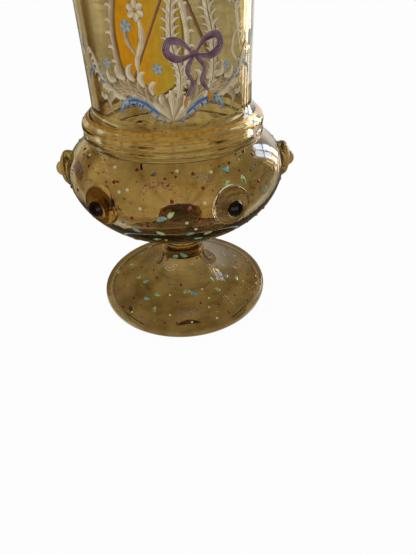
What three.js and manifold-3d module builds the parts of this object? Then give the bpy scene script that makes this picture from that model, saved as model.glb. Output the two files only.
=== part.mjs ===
// Footed goblet of blown glass: a straight cup over a squat bulb with six jewelled prunts, two
// rings round the waist, a button-shaped merese and a hollow trumpet foot with a folded rim.
// Millimetres, +Z up. The axis is x = y = 0 and the foot stands on z = 0.

import * as THREE from 'three';
import { mergeVertices } from 'three/addons/utils/BufferGeometryUtils.js';
import Module from 'manifold-3d';

const wasm = await Module();
wasm.setup();

// Driving dimensions: all pieces
const CLEARANCE = 0.3; // left between a piece and the one that it lies against
const SEGMENTS = 48; // facets round the axis
const PRUNT_SEGMENTS = 24; // facets round one prunt
const JEWEL_SEGMENTS = 16; // facets round one jewel

// Driving dimensions: foot
const FOOT_RADIUS = 49.5;
const FOOT_HEIGHT = 34; // from the ground to the stem's top
const FOOT_WALL = 2.6;
const FOOT_RISE = 3.2; // of the tread over its flat half
const FOLD_HEIGHT = 4.8; // thickness of the folded rim
const FOLD_WIDTH = 4.2; // how far in the rim is folded
const STEM_RADIUS = 12.1;
const STEM_WALL = 3.2;
const STEM_CROWN = 3.4; // solid glass over the hollow of the stem

// Driving dimensions: merese
const MERESE_RADIUS = 13.4;
const MERESE_DISC_HEIGHT = 3.8;
const MERESE_NECK_RADIUS = 10.2;
const MERESE_FLARE_RADIUS = 13;
const MERESE_HEIGHT = 8.6; // on the axis, from the stem to the bulb

// Driving dimensions: bowl
const BULB_RADIUS = 53.9;
const BULB_DEPTH = 36.8; // from the widest line down to the pole
const BULB_SHOULDER = 24.3; // half axis of the ellipse over the widest line
const BULB_WALL = 3;
const BULB_FLOOR = 5; // glass at the pole
const WAIST_HEIGHT = 15; // from the widest line up to the shoulder's end
const WAIST_FILLET = 5.5; // height of the hollow curve from the shoulder to the cup
const CUP_FOOT_RADIUS = 36.9;
const CUP_MIDDLE_RADIUS = 36.1;
const CUP_RIM_RADIUS = 36.9;
const CUP_WALL = 2.7;
const CUP_HEIGHT = 129.5; // from the waist fillet up to the rim

// Driving dimensions: collar rings
const COLLAR_PROUD = 5.8; // of the upper ring's crest beyond the cup's foot
const COLLAR_SKIRT = 7.5; // from the crest up to the ring's thin top edge
const COLLAR_DROP = 2.5; // from the crest down to the groove between the rings
const COLLAR_EDGE = 0.6; // thickness of the thin top edge
const GROOVE_DEPTH = 0.8; // of the groove between the rings
const LOWER_RING_HEIGHT = 4.2;
const LOWER_RING_PROUD = 5.9; // of the lower ring's crest beyond the cup's foot

// Driving dimensions: prunts and jewels
const PRUNT_AZIMUTHS = [-90, -37, 23, 88, 148, 203]; // degrees, set by hand, from the front to the right
const PRUNT_RADIUS = 8.6;
const PRUNT_HEIGHT = 4; // of the dome over the bulb
const PRUNT_ROOT = 6; // how deep the pad reaches round the bulb
const PRUNT_UNDERCUT = 0.8; // how far the root draws in
const PRUNT_SINK = 0.6; // of the prunts' centres under the bulb's widest line
const THREAD_TURNS = 3; // of the spiral that the prunt is laid on in
const THREAD_HEIGHT = 0.45;
const JEWEL_RADIUS = 3.5;
const JEWEL_DOME = 2.8;
const JEWEL_BACK = 1.3; // how deep the jewel's back bulges into its seat
const JEWEL_SEAT_HEIGHT = 3.9; // of the jewel's widest line over the bulb

const GLASS = new THREE.MeshStandardMaterial({ name: 'amber_glass', color: 0xa89257, roughness: 0.06, metalness: 0 });
const RING_GLASS = new THREE.MeshStandardMaterial({ name: 'ring_glass', color: 0x9a7d3a, roughness: 0.08, metalness: 0 });
const PRUNT_GLASS = new THREE.MeshStandardMaterial({ name: 'prunt_glass', color: 0x7c5526, roughness: 0.08, metalness: 0 });
const JEWEL_GLASS = new THREE.MeshStandardMaterial({ name: 'jewel_glass', color: 0x1c0b07, roughness: 0.04, metalness: 0 });

// Heights and radii that follow from the driving dimensions
const MERESE_BASE = FOOT_HEIGHT + CLEARANCE;
const BULB_POLE = MERESE_BASE + MERESE_HEIGHT + CLEARANCE;
const BULB_EQUATOR = BULB_POLE + BULB_DEPTH;
const PRUNT_LINE = BULB_EQUATOR - PRUNT_SINK;
const WAIST_BASE = BULB_EQUATOR + WAIST_HEIGHT;
const CUP_BASE = WAIST_BASE + WAIST_FILLET;
const RIM_HEIGHT = CUP_BASE + CUP_HEIGHT;
const LOWER_RING_TOP = WAIST_BASE + LOWER_RING_HEIGHT;
const UPPER_RING_BASE = LOWER_RING_TOP + CLEARANCE;
const COLLAR_CREST = UPPER_RING_BASE + COLLAR_DROP;
const COLLAR_RADIUS = CUP_FOOT_RADIUS + COLLAR_PROUD;
const LOWER_RING_RADIUS = CUP_FOOT_RADIUS + LOWER_RING_PROUD;
const GROOVE_RADIUS = COLLAR_RADIUS - GROOVE_DEPTH;

/** A point of a profile: r from the axis, z over the ground. */
const at = (r, z) => new THREE.Vector2(r, z);

/** Points on a quarter ellipse between two angles, in radians from the r axis. */
function ellipseArc(centre, halfR, halfZ, from, to, count) {
  return Array.from({ length: count + 1 }, (_, i) => {
    const angle = THREE.MathUtils.lerp(from, to, i / count);
    return at(centre.x + halfR * Math.cos(angle), centre.y + halfZ * Math.sin(angle));
  });
}

/** Points on a cubic curve through its ends, with the middle two as handles. */
function curvePoints(start, startHandle, endHandle, end, count) {
  return new THREE.CubicBezierCurve(start, startHandle, endHandle, end).getPoints(count);
}

/** Turns a closed three.js geometry into a solid for joining and cutting. */
function toSolid(geometry) {
  const bare = geometry.index ? geometry.clone() : geometry;
  bare.deleteAttribute('normal');
  bare.deleteAttribute('uv');
  const merged = mergeVertices(bare, 1e-5);
  const index = merged.index.array;
  const triangles = [];
  for (let i = 0; i < index.length; i += 3) {
    const [a, b, c] = [index[i], index[i + 1], index[i + 2]];
    if (a !== b && b !== c && c !== a) triangles.push(a, b, c);
  }
  return new wasm.Manifold(new wasm.Mesh({
    numProp: 3,
    vertProperties: new Float32Array(merged.getAttribute('position').array),
    triVerts: new Uint32Array(triangles),
  }));
}

/** Turns a solid back into a three.js geometry with flat facets. */
function toGeometry(solid) {
  const { numProp, vertProperties, triVerts } = solid.getMesh();
  const positions = [];
  for (let i = 0; i < vertProperties.length; i += numProp) {
    positions.push(vertProperties[i], vertProperties[i + 1], vertProperties[i + 2]);
  }
  const geometry = new THREE.BufferGeometry();
  geometry.setAttribute('position', new THREE.Float32BufferAttribute(positions, 3));
  geometry.setIndex(Array.from(triVerts));
  geometry.computeVertexNormals();
  return geometry;
}

/** Revolves a profile that runs anticlockwise in the r, z plane, from the axis or closed on itself. */
function revolve(profile, segments = SEGMENTS) {
  const closed = profile[0].x > 0 ? [...profile, profile[0]] : profile;
  return toSolid(new THREE.LatheGeometry(closed, segments).rotateX(Math.PI / 2));
}

/** Radius of the cup's outside at a share of its height, on a parabola through three radii. */
function cupRadius(share) {
  const foot = 2 * (share - 0.5) * (share - 1);
  const middle = 4 * share * (1 - share);
  const rim = 2 * share * (share - 0.5);
  return foot * CUP_FOOT_RADIUS + middle * CUP_MIDDLE_RADIUS + rim * CUP_RIM_RADIUS;
}

/** The bowl's wall from the pole to the rim, set in or out by the given amounts. */
function bowlWall(bulbOffset, poleOffset, cupOffset, rimDrop) {
  const centre = at(0, BULB_EQUATOR);
  const halfR = BULB_RADIUS + bulbOffset;
  const shoulder = BULB_SHOULDER + bulbOffset;
  const shoulderEnd = Math.asin(WAIST_HEIGHT / BULB_SHOULDER);
  const cupFoot = CUP_FOOT_RADIUS + cupOffset;
  const lower = ellipseArc(centre, halfR, BULB_DEPTH + poleOffset, -Math.PI / 2, 0, 8);
  const upper = ellipseArc(centre, halfR, shoulder, 0, shoulderEnd, 4);
  const start = upper.at(-1);
  const slope = at(-halfR * Math.sin(shoulderEnd), shoulder * Math.cos(shoulderEnd)).normalize();
  const reach = (start.x - cupFoot) / 2;
  const fillet = curvePoints(
    start,
    at(start.x + slope.x * reach, start.y + slope.y * reach),
    at(cupFoot, CUP_BASE - WAIST_FILLET / 2),
    at(cupFoot, CUP_BASE),
    3,
  );
  const cupSteps = 4;
  const cup = Array.from({ length: cupSteps }, (_, i) => {
    const share = (i + 1) / cupSteps;
    return at(cupRadius(share) + cupOffset, CUP_BASE + share * (CUP_HEIGHT - rimDrop));
  });
  return [...lower, ...upper.slice(1), ...fillet.slice(1), ...cup];
}

/** The bowl's outside grown by the clearance, which cuts the pieces that lie against it. */
function bowlCutter() {
  const wall = bowlWall(CLEARANCE, CLEARANCE, CLEARANCE, 0);
  return revolve([...wall, at(0, RIM_HEIGHT)]);
}

/** Cup and bulb: one blown wall with a thick floor and a rounded lip. */
function bowlSolid() {
  const lipRadius = CUP_WALL / 2;
  const outside = bowlWall(0, 0, 0, lipRadius);
  const inside = bowlWall(-BULB_WALL, -BULB_FLOOR, -CUP_WALL, lipRadius).reverse();
  const lip = ellipseArc(at(CUP_RIM_RADIUS - lipRadius, RIM_HEIGHT - lipRadius), lipRadius, lipRadius, 0, Math.PI, 4);
  return revolve([...outside, ...lip.slice(1, -1), ...inside]);
}

/** Thick ring round the waist: a skirt that thins upward over a round crest. */
function upperRingSolid(cutter) {
  const top = COLLAR_CREST + COLLAR_SKIRT;
  const edge = CUP_FOOT_RADIUS + CLEARANCE + COLLAR_EDGE;
  const inside = CUP_FOOT_RADIUS - CUP_WALL;
  const crest = at(COLLAR_RADIUS, COLLAR_CREST);
  const skirt = curvePoints(
    crest,
    at(COLLAR_RADIUS, COLLAR_CREST + COLLAR_SKIRT * 0.3),
    at(edge, top - COLLAR_SKIRT * 0.45),
    at(edge, top),
    5,
  );
  const underside = ellipseArc(at(GROOVE_RADIUS, COLLAR_CREST), GROOVE_DEPTH, COLLAR_DROP, -Math.PI / 2, 0, 2);
  return revolve([at(inside, UPPER_RING_BASE), ...underside, ...skirt.slice(1), at(inside, top)]).subtract(cutter);
}

/** Slim half-round ring between the upper ring and the bulb's shoulder. */
function lowerRingSolid(cutter) {
  const inside = CUP_FOOT_RADIUS - CUP_WALL;
  const base = WAIST_BASE - LOWER_RING_HEIGHT / 4;
  const middle = (base + LOWER_RING_TOP) / 2;
  const halfHeight = (LOWER_RING_TOP - base) / 2;
  const bulge = LOWER_RING_RADIUS - GROOVE_RADIUS;
  const crest = ellipseArc(at(GROOVE_RADIUS, middle), bulge, halfHeight, -Math.PI / 2, Math.PI / 2, 4);
  return revolve([at(inside, base), ...crest, at(inside, LOWER_RING_TOP)]).subtract(cutter);
}

/** Solid button with a round edge and a neck that flares up to the bulb. */
function mereseSolid(cutter) {
  const halfDisc = MERESE_DISC_HEIGHT / 2;
  const discTop = MERESE_BASE + MERESE_DISC_HEIGHT;
  const flareTop = BULB_POLE + BULB_DEPTH / 4;
  const rimCentre = at(MERESE_RADIUS - halfDisc, MERESE_BASE + halfDisc);
  const rim = ellipseArc(rimCentre, halfDisc, halfDisc, -Math.PI / 2, Math.PI / 2, 4);
  const neck = curvePoints(
    at(MERESE_NECK_RADIUS, discTop),
    at(MERESE_NECK_RADIUS, (discTop + BULB_POLE) / 2),
    at(MERESE_NECK_RADIUS, BULB_POLE),
    at(MERESE_FLARE_RADIUS, BULB_POLE + CLEARANCE),
    3,
  );
  const profile = [at(0, MERESE_BASE), ...rim, ...neck, at(MERESE_FLARE_RADIUS, flareTop), at(0, flareTop)];
  return revolve(profile).subtract(cutter);
}

/** Hollow trumpet foot: flat ring to stand on, folded rim, thin tread and hollow stem. */
function footSolid() {
  const halfFold = FOLD_HEIGHT / 2;
  const foldInside = FOOT_RADIUS - FOLD_WIDTH;
  const tread = new THREE.CubicBezierCurve(
    at(foldInside, FOLD_HEIGHT),
    at(STEM_RADIUS + (foldInside - STEM_RADIUS) / 4, FOLD_HEIGHT + FOOT_RISE),
    at(STEM_RADIUS, FOLD_HEIGHT + FOOT_HEIGHT / 4),
    at(STEM_RADIUS, FOOT_HEIGHT),
  );
  const steps = 9;
  const outside = tread.getPoints(steps);
  const hollowTop = FOOT_HEIGHT - STEM_CROWN;
  const hollowRadius = STEM_RADIUS - STEM_WALL;
  const inside = [];
  for (let i = 0; i < steps; i += 1) {
    const share = i / steps;
    const slope = tread.getTangent(share);
    const wall = THREE.MathUtils.lerp(FOOT_WALL, STEM_WALL, share);
    const point = tread.getPoint(share).add(at(-slope.y, slope.x).multiplyScalar(wall));
    if (point.y < hollowTop - hollowRadius / 2) inside.push(point);
  }
  const crown = ellipseArc(at(0, hollowTop - hollowRadius / 2), hollowRadius, hollowRadius / 2, 0, Math.PI / 2, 3);
  const edge = ellipseArc(at(FOOT_RADIUS - halfFold, halfFold), halfFold, halfFold, -Math.PI / 2, Math.PI / 2, 5);
  return revolve([
    ...crown.reverse(),
    ...inside.reverse(),
    at(foldInside, 0),
    ...edge,
    ...outside,
    at(0, FOOT_HEIGHT),
  ]);
}

/** One jewel round its own axis +Z, with its widest line at the seat height, grown by an offset. */
function jewelSolid(offset = 0) {
  const centre = at(0, JEWEL_SEAT_HEIGHT);
  const back = ellipseArc(centre, JEWEL_RADIUS + offset, JEWEL_BACK + offset, -Math.PI / 2, 0, 2);
  const dome = ellipseArc(centre, JEWEL_RADIUS + offset, JEWEL_DOME + offset, 0, Math.PI / 2, 4);
  return revolve([...back, ...dome.slice(1)], JEWEL_SEGMENTS);
}

/** Height of the spiral thread over the dome, at a share of the way up and a turn round it. */
function threadHeight(share, turn) {
  const phase = share * THREAD_TURNS - turn;
  const fade = Math.sin(Math.PI * share);
  return THREAD_HEIGHT * Math.sqrt(fade) * Math.abs(Math.sin(Math.PI * phase));
}

/** One prunt round its own axis +Z: a dome laid on as a spiral thread, over a root that the bulb cuts. */
function pruntPad() {
  const rows = THREAD_TURNS * 3;
  const positions = [0, 0, -PRUNT_ROOT];
  const ring = (radius, height) => {
    for (let i = 0; i < PRUNT_SEGMENTS; i += 1) {
      const turn = i / PRUNT_SEGMENTS;
      const angle = turn * 2 * Math.PI;
      positions.push(radius(turn) * Math.cos(angle), radius(turn) * Math.sin(angle), height(turn));
    }
  };
  ring(() => PRUNT_RADIUS - PRUNT_UNDERCUT, () => -PRUNT_ROOT);
  for (let row = 0; row <= rows; row += 1) {
    const share = row / (rows + 1);
    const slope = share * Math.PI / 2;
    const lift = (turn) => threadHeight(share, turn);
    ring(
      (turn) => (PRUNT_RADIUS + lift(turn)) * Math.cos(slope),
      (turn) => (PRUNT_HEIGHT + lift(turn)) * Math.sin(slope),
    );
  }
  positions.push(0, 0, PRUNT_HEIGHT);

  const index = [];
  const top = positions.length / 3 - 1;
  const rings = rows + 2;
  for (let i = 0; i < PRUNT_SEGMENTS; i += 1) {
    const next = (i + 1) % PRUNT_SEGMENTS;
    index.push(0, 1 + next, 1 + i);
    for (let row = 0; row < rings - 1; row += 1) {
      const low = 1 + row * PRUNT_SEGMENTS;
      const high = low + PRUNT_SEGMENTS;
      index.push(low + i, low + next, high + next, low + i, high + next, high + i);
    }
    const last = 1 + (rings - 1) * PRUNT_SEGMENTS;
    index.push(last + i, last + next, top);
  }
  const geometry = new THREE.BufferGeometry();
  geometry.setAttribute('position', new THREE.Float32BufferAttribute(positions, 3));
  geometry.setIndex(index);
  return toSolid(geometry);
}

/** A prunt's pad with its seat for the jewel and its back cut to the bulb at that azimuth. */
function pruntSolid(pad, cutter, azimuth) {
  const bulbInPad = cutter
    .rotate([0, 0, -azimuth])
    .translate([0, BULB_RADIUS, -PRUNT_LINE])
    .rotate([-90, 0, 0]);
  return pad.subtract(jewelSolid(CLEARANCE)).subtract(bulbInPad);
}

/** A named mesh. */
function piece(name, solid, material) {
  const mesh = new THREE.Mesh(toGeometry(solid), material);
  mesh.name = name;
  return mesh;
}

/** A group whose own +Z points out of the bulb at an azimuth, with its origin on the bulb. */
function pruntGroup(azimuth) {
  const turned = new THREE.Group();
  turned.rotation.z = THREE.MathUtils.degToRad(azimuth);
  const placed = new THREE.Group();
  placed.position.set(0, -BULB_RADIUS, PRUNT_LINE);
  placed.rotation.x = Math.PI / 2;
  turned.add(placed);
  return { turned, placed };
}

const goblet = new THREE.Group();
const cutter = bowlCutter();
goblet.add(
  piece('bowl', bowlSolid(), GLASS),
  piece('upper_collar_ring', upperRingSolid(cutter), RING_GLASS),
  piece('lower_collar_ring', lowerRingSolid(cutter), RING_GLASS),
  piece('merese', mereseSolid(cutter), RING_GLASS),
  piece('foot', footSolid(), GLASS),
);

const pad = pruntPad();
PRUNT_AZIMUTHS.forEach((azimuth, i) => {
  const { turned, placed } = pruntGroup(azimuth);
  placed.add(
    piece(`prunt_${i + 1}`, pruntSolid(pad, cutter, azimuth), PRUNT_GLASS),
    piece(`jewel_${i + 1}`, jewelSolid(), JEWEL_GLASS),
  );
  goblet.add(turned);
});

export default goblet;
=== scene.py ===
"""Looks of a footed goblet: amber glass, jewelled prunts, enamel beads, gilding and a painted cup."""

from __future__ import annotations

import logging
import math
import random
from abc import ABC, abstractmethod
from collections.abc import Callable, Iterator, Sequence
from dataclasses import dataclass, replace
from enum import Enum

import bpy
from mathutils import Matrix, Vector
from mathutils.bvhtree import BVHTree


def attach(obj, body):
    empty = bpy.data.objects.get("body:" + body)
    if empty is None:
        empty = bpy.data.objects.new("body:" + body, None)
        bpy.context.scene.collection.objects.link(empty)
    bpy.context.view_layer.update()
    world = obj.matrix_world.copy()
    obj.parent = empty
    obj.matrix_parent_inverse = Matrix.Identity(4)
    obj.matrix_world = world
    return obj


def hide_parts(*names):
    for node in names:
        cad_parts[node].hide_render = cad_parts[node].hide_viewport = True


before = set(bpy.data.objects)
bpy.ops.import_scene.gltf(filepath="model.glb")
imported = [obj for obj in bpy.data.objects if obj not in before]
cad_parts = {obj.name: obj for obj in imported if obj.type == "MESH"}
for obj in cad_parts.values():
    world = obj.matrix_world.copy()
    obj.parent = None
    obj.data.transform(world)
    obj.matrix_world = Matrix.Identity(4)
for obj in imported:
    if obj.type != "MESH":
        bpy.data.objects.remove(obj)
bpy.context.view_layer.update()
LOG = logging.getLogger("goblet")

MM = 0.001
ROOT = "root"
Flat = tuple[float, float]
Span = tuple[float, float]
Screen = tuple[int, int, int]
Colour = tuple[float, float, float, float]
Ellipse = tuple[Flat, float, float]
Vertex = tuple[Vector, Flat]
LIT: Colour = (1.0, 1.0, 1.0, 1.0)


def grey(level: float) -> Colour:
    """A neutral colour, from 0 for black to 1 for white."""
    return (level, level, level, 1.0)


def linear(screen: Screen) -> Colour:
    """Turns a colour as a screen shows it, 0 to 255, into the linear colour that shaders take."""
    shares = [value / 255 for value in screen]
    return (*(c / 12.92 if c <= 0.04045 else ((c + 0.055) / 1.055) ** 2.4 for c in shares), 1.0)


def polar(centre: Flat, half_x: float, half_y: float, degrees: float) -> Flat:
    """The point of an ellipse at an angle from its x axis."""
    angle = math.radians(degrees)
    return (centre[0] + half_x * math.cos(angle), centre[1] + half_y * math.sin(angle))


def swing(radius: float, degrees: float) -> Flat:
    """The point at a distance from the origin and an angle from the x axis."""
    return polar((0.0, 0.0), radius, radius, degrees)


def arc(centre: Flat, half_x: float, half_y: float, start: float, end: float, count: int) -> list[Flat]:
    """Points on an ellipse from one angle in degrees to another, in count steps."""
    return [polar(centre, half_x, half_y, start + (end - start) * i / count) for i in range(count + 1)]


def around(azimuth: float, radius: float, height: float) -> Vector:
    """A place round the goblet's axis.

    Args:
        azimuth: Degrees from the front, which faces -Y, towards +X.
        radius: Distance from the axis in millimetres.
        height: Height over the ground in millimetres.

    Returns:
        The place in metres, in the row frame.
    """
    return Vector((*swing(radius, azimuth - 90), height)) * MM


def blend(weights: Sequence[float], points: Sequence[Flat]) -> Flat:
    """The weighted sum of some points."""
    return (sum(w * p[0] for w, p in zip(weights, points)), sum(w * p[1] for w, p in zip(weights, points)))


def bezier(points: Sequence[Flat], count: int) -> list[Flat]:
    """Points on a cubic curve, given by its start, two handles and its end, in count steps."""
    shares = [i / count for i in range(count + 1)]
    return [blend(((1 - t) ** 3, 3 * t * (1 - t) ** 2, 3 * t * t * (1 - t), t**3), points) for t in shares]


def spline(points: Sequence[Flat], step: float) -> list[Flat]:
    """A smooth curve through points.

    Args:
        points: The points that it passes.
        step: About how long its segments are.

    Returns:
        Points along the curve.
    """
    ends = [points[0], *points, points[-1]]
    made = []
    for corners in zip(ends, ends[1:], ends[2:], ends[3:]):
        count = max(2, round(math.dist(corners[1], corners[2]) / step))
        for t in (i / count for i in range(count)):
            first, last = (-t + 2 * t * t - t**3) / 2, (t**3 - t * t) / 2
            middle = ((2 - 5 * t * t + 3 * t**3) / 2, (t + 4 * t * t - 3 * t**3) / 2)
            made.append(blend((first, *middle, last), corners))
    return [*made, points[-1]]


def join(*parts: Sequence[Flat]) -> list[Flat]:
    """Chains profile parts, without the points that two neighbours share.

    Args:
        parts: The parts in their order.

    Returns:
        The whole profile.
    """
    chain: list[Flat] = []
    for part in parts:
        start = 1 if chain and math.dist(chain[-1], part[0]) < 1e-6 else 0
        chain.extend(part[start:])
    return chain


@dataclass(frozen=True)
class GobletForm:
    """The CAD's sizes in millimetres, and the profiles in the r, z plane that follow from them."""

    foot_radius: float = 49.5
    foot_height: float = 34.0
    foot_wall: float = 2.6
    foot_rise: float = 3.2
    fold_height: float = 4.8
    fold_width: float = 4.2
    stem_radius: float = 12.1
    stem_wall: float = 3.2
    stem_crown: float = 3.4
    seat_gap: float = 0.06
    merese_radius: float = 13.4
    merese_disc: float = 3.8
    merese_neck: float = 10.2
    merese_flare: float = 13.0
    bulb_radius: float = 53.9
    bulb_depth: float = 36.8
    bulb_shoulder: float = 24.3
    bulb_wall: float = 3.0
    bulb_floor: float = 5.0
    bulb_pole: float = 43.2
    waist_height: float = 15.0
    waist_fillet: float = 5.5
    cup_radius: float = 36.9
    cup_middle: float = 36.1
    cup_wall: float = 2.7
    cup_height: float = 129.5
    collar_radius: float = 42.7
    collar_skirt: float = 7.5
    collar_drop: float = 2.5
    groove_depth: float = 0.8
    lower_ring_radius: float = 42.8
    lower_ring_height: float = 4.2
    ring_gap: float = 0.3
    prunt_radius: float = 8.6
    prunt_dome: float = 4.0
    prunt_sink: float = 0.6
    jewel_radius: float = 3.5
    jewel_dome: float = 2.8
    jewel_back: float = 1.3
    jewel_seat: float = 3.9
    prunt_azimuths: tuple[float, ...] = (-90, -37, 23, 88, 148, 203)

    @property
    def bulb_equator(self) -> float:
        """Height of the bulb's widest line."""
        return self.bulb_pole + self.bulb_depth

    @property
    def shoulder_end(self) -> float:
        """Angle on the shoulder's ellipse at which it ends."""
        return math.asin(self.waist_height / self.bulb_shoulder)

    @property
    def waist_base(self) -> float:
        """Height at which the shoulder ends."""
        return self.bulb_equator + self.waist_height

    @property
    def cup_base(self) -> float:
        """Height at which the cup's side starts."""
        return self.waist_base + self.waist_fillet

    @property
    def rim(self) -> float:
        """Height of the rim."""
        return self.cup_base + self.cup_height

    @property
    def groove_radius(self) -> float:
        """Radius at the bottom of the groove."""
        return self.collar_radius - self.groove_depth

    @property
    def groove_height(self) -> float:
        """Height of the groove between the two collar rings."""
        return self.waist_base + self.lower_ring_height + self.ring_gap / 2

    @property
    def crest_height(self) -> float:
        """Height of the upper ring's widest line."""
        return self.waist_base + self.lower_ring_height + self.ring_gap + self.collar_drop

    @property
    def skirt_top(self) -> float:
        """Height at which the upper ring's skirt ends on the cup."""
        return self.crest_height + self.collar_skirt

    def cup_side(self, height: float) -> float:
        """Radius of the cup's outside at a height, on a shallow parabola."""
        share = (height - self.cup_base) / self.cup_height
        return self.cup_middle + (self.cup_radius - self.cup_middle) * (2 * share - 1) ** 2

    def bulb_side(self, height: float) -> float:
        """Radius of the bulb's outside.

        Args:
            height: Height over the ground in millimetres.

        Returns:
            The radius in millimetres.
        """
        drop = height - self.bulb_equator
        half = self.bulb_shoulder if drop > 0 else self.bulb_depth
        return self.bulb_radius * math.sqrt(max(0.0, 1 - (drop / half) ** 2))

    def bulb(self, wall: float = 0.0, floor: float = 0.0) -> list[Flat]:
        """The bulb from the pole up to the shoulder's end.

        Args:
            wall: How far its side is set in.
            floor: How far its floor is set in.

        Returns:
            The profile.
        """
        half_r, centre = self.bulb_radius - wall, (0.0, self.bulb_equator)
        lower = arc(centre, half_r, self.bulb_depth - floor, -90, 0, 40)
        upper = arc(centre, half_r, self.bulb_shoulder - wall, 0, math.degrees(self.shoulder_end), 16)
        return join([(0.0, lower[0][1])] + lower[1:], upper)

    def waist(self, start: Flat, wall: float) -> list[Flat]:
        """The hollow curve from the shoulder's end to the cup's side.

        Args:
            start: The shoulder's end.
            wall: How far the curve is set in.

        Returns:
            The profile.
        """
        run, rise = self.bulb_radius - wall, self.bulb_shoulder - wall
        slope = Vector((-run * math.sin(self.shoulder_end), rise * math.cos(self.shoulder_end)))
        side = self.cup_radius - wall
        reach = slope.normalized() * ((start[0] - side) / 2)
        handle = (start[0] + reach.x, start[1] + reach.y)
        under, end = (side, self.cup_base - self.waist_fillet / 2), (side, self.cup_base)
        return bezier((start, handle, under, end), 10)

    def cup(self, wall: float, low: float, high: float, count: int = 24) -> list[Flat]:
        """The cup's side between two heights, set in by a wall."""
        heights = [low + (high - low) * i / count for i in range(count + 1)]
        return [(self.cup_side(h) - wall, h) for h in heights]

    def lower_ring(self) -> list[Flat]:
        """The lower ring's outside, from the crease on the shoulder up to the groove.

        Returns:
            The profile.
        """
        low, high = self.waist_base + 0.1, self.groove_height
        proud = self.lower_ring_radius - self.groove_radius
        return arc((self.groove_radius, (low + high) / 2), proud, (high - low) / 2, -80, 80, 12)

    def upper_ring(self) -> list[Flat]:
        """The upper ring's outside, from the groove over the crest to the thin edge on the cup.

        Returns:
            The profile.
        """
        under = arc((self.groove_radius, self.crest_height), self.groove_depth, self.collar_drop, -80, 0, 8)
        edge = self.cup_side(self.skirt_top) + 0.05
        handles = (
            (self.collar_radius, self.crest_height),
            (self.collar_radius, self.crest_height + self.collar_skirt * 0.34),
            (edge + 1.3, self.skirt_top - self.collar_skirt * 0.45),
            (edge, self.skirt_top),
        )
        return join(under, bezier(handles, 14))

    def tread(self) -> list[Flat]:
        """The foot's upper face, from the folded rim's inner line up to the stem's top.

        Returns:
            The profile.
        """
        inner = self.foot_radius - self.fold_width
        flat = (self.stem_radius + (inner - self.stem_radius) / 4, self.fold_height + self.foot_rise)
        stem = (self.stem_radius, self.fold_height + self.foot_height / 4)
        return bezier(((inner, self.fold_height), flat, stem, (self.stem_radius, self.foot_height)), 44)


FORM = GobletForm()
UPRIGHT = Matrix.Identity(4)


def linked(name: str, data: bpy.types.ID) -> bpy.types.Object:
    """Makes an object and links it to the scene.

    Args:
        name: The object's name.
        data: Its mesh, lamp or camera data.

    Returns:
        The object.
    """
    made = bpy.data.objects.new(name, data)
    bpy.context.scene.collection.objects.link(made)
    return made


class MeshBuilder:
    """Gathers vertices, faces and UVs for one mesh object."""

    def __init__(self, name: str) -> None:
        """Starts an empty mesh.

        Args:
            name: The piece's name.
        """
        self.name = name
        self.vertices: list[Vector] = []
        self.faces: list[tuple[int, ...]] = []
        self.uvs: list[Flat] = []
        self.slots: list[int] = []

    def face(self, corners: Sequence[int], slot: int = 0) -> None:
        """Adds a face that wears one material slot."""
        self.faces.append(tuple(corners))
        self.slots.append(slot)

    def sheet(self, rows: Sequence[Sequence[Vertex]], slot: int = 0, closed: bool = False) -> list[range]:
        """Adds rows of vertices and joins neighbours by quads, or by a fan to a row of one vertex.

        Args:
            rows: The rows, of vertices in metres with their UVs.
            slot: The material slot.
            closed: Whether the last vertex of a row joins its first.

        Returns:
            The numbers of each row's vertices.
        """
        numbers = []
        for row in rows:
            numbers.append(range(len(self.vertices), len(self.vertices) + len(row)))
            self.vertices += [place for place, _ in row]
            self.uvs += [uv for _, uv in row]
        for low, high in zip(numbers, numbers[1:]):
            count = max(len(low), len(high))
            for i in range(count if closed else count - 1):
                j = (i + 1) % count
                corners = (low[i % len(low)], low[j % len(low)], high[j % len(high)], high[i % len(high)])
                self.face(dict.fromkeys(corners), slot)
        return numbers

    def revolve(
        self,
        profile: Sequence[Flat],
        segments: int,
        wobble: Callable[[float, float], float] | None = None,
        matrix: Matrix = UPRIGHT,
    ) -> MeshBuilder:
        """Revolves a profile round the goblet's axis, or round another one.

        Args:
            profile: Points in millimetres, with the outside on its right hand going along it.
            segments: Facets round the axis.
            wobble: Radius to add at an azimuth and a height, or None.
            matrix: Moves the whole turned form.

        Returns:
            This builder.
        """
        rows = []
        for index, (radius, height) in enumerate(profile):
            share = index / (len(profile) - 1)
            if radius < 1e-6:
                rows.append([(matrix @ Vector((0, 0, height * MM)), (0.5, share))])
                continue
            row = []
            for turn in (k / segments for k in range(segments)):
                shift = wobble(360 * turn, height) if wobble else 0.0
                row.append((matrix @ around(360 * turn, radius + shift, height), (turn, share)))
            rows.append(row)
        self.sheet(rows, closed=True)
        return self

    def build(self, finishes: Sequence[bpy.types.Material], slot: str, node: str = "") -> bpy.types.Object:
        """Makes the object and lets it ride on the goblet.

        Args:
            finishes: Its materials, in slot order.
            slot: A material slot's name; not used.
            node: The CAD node that it takes the place of, if any.

        Returns:
            The object.
        """
        mesh = bpy.data.meshes.new(self.name)
        mesh.from_pydata([tuple(v) for v in self.vertices], [], self.faces)
        corners = [self.uvs[loop.vertex_index] for loop in mesh.loops]
        mesh.uv_layers.new(name="Paint").data.foreach_set("uv", [value for uv in corners for value in uv])
        for finish in finishes:
            mesh.materials.append(finish)
        mesh.polygons.foreach_set("material_index", self.slots)
        mesh.polygons.foreach_set("use_smooth", [True] * len(self.faces))
        mesh.update()
        made = linked(self.name, mesh)
        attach(made, ROOT)
        if node:
            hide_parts(node)
        return made


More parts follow.
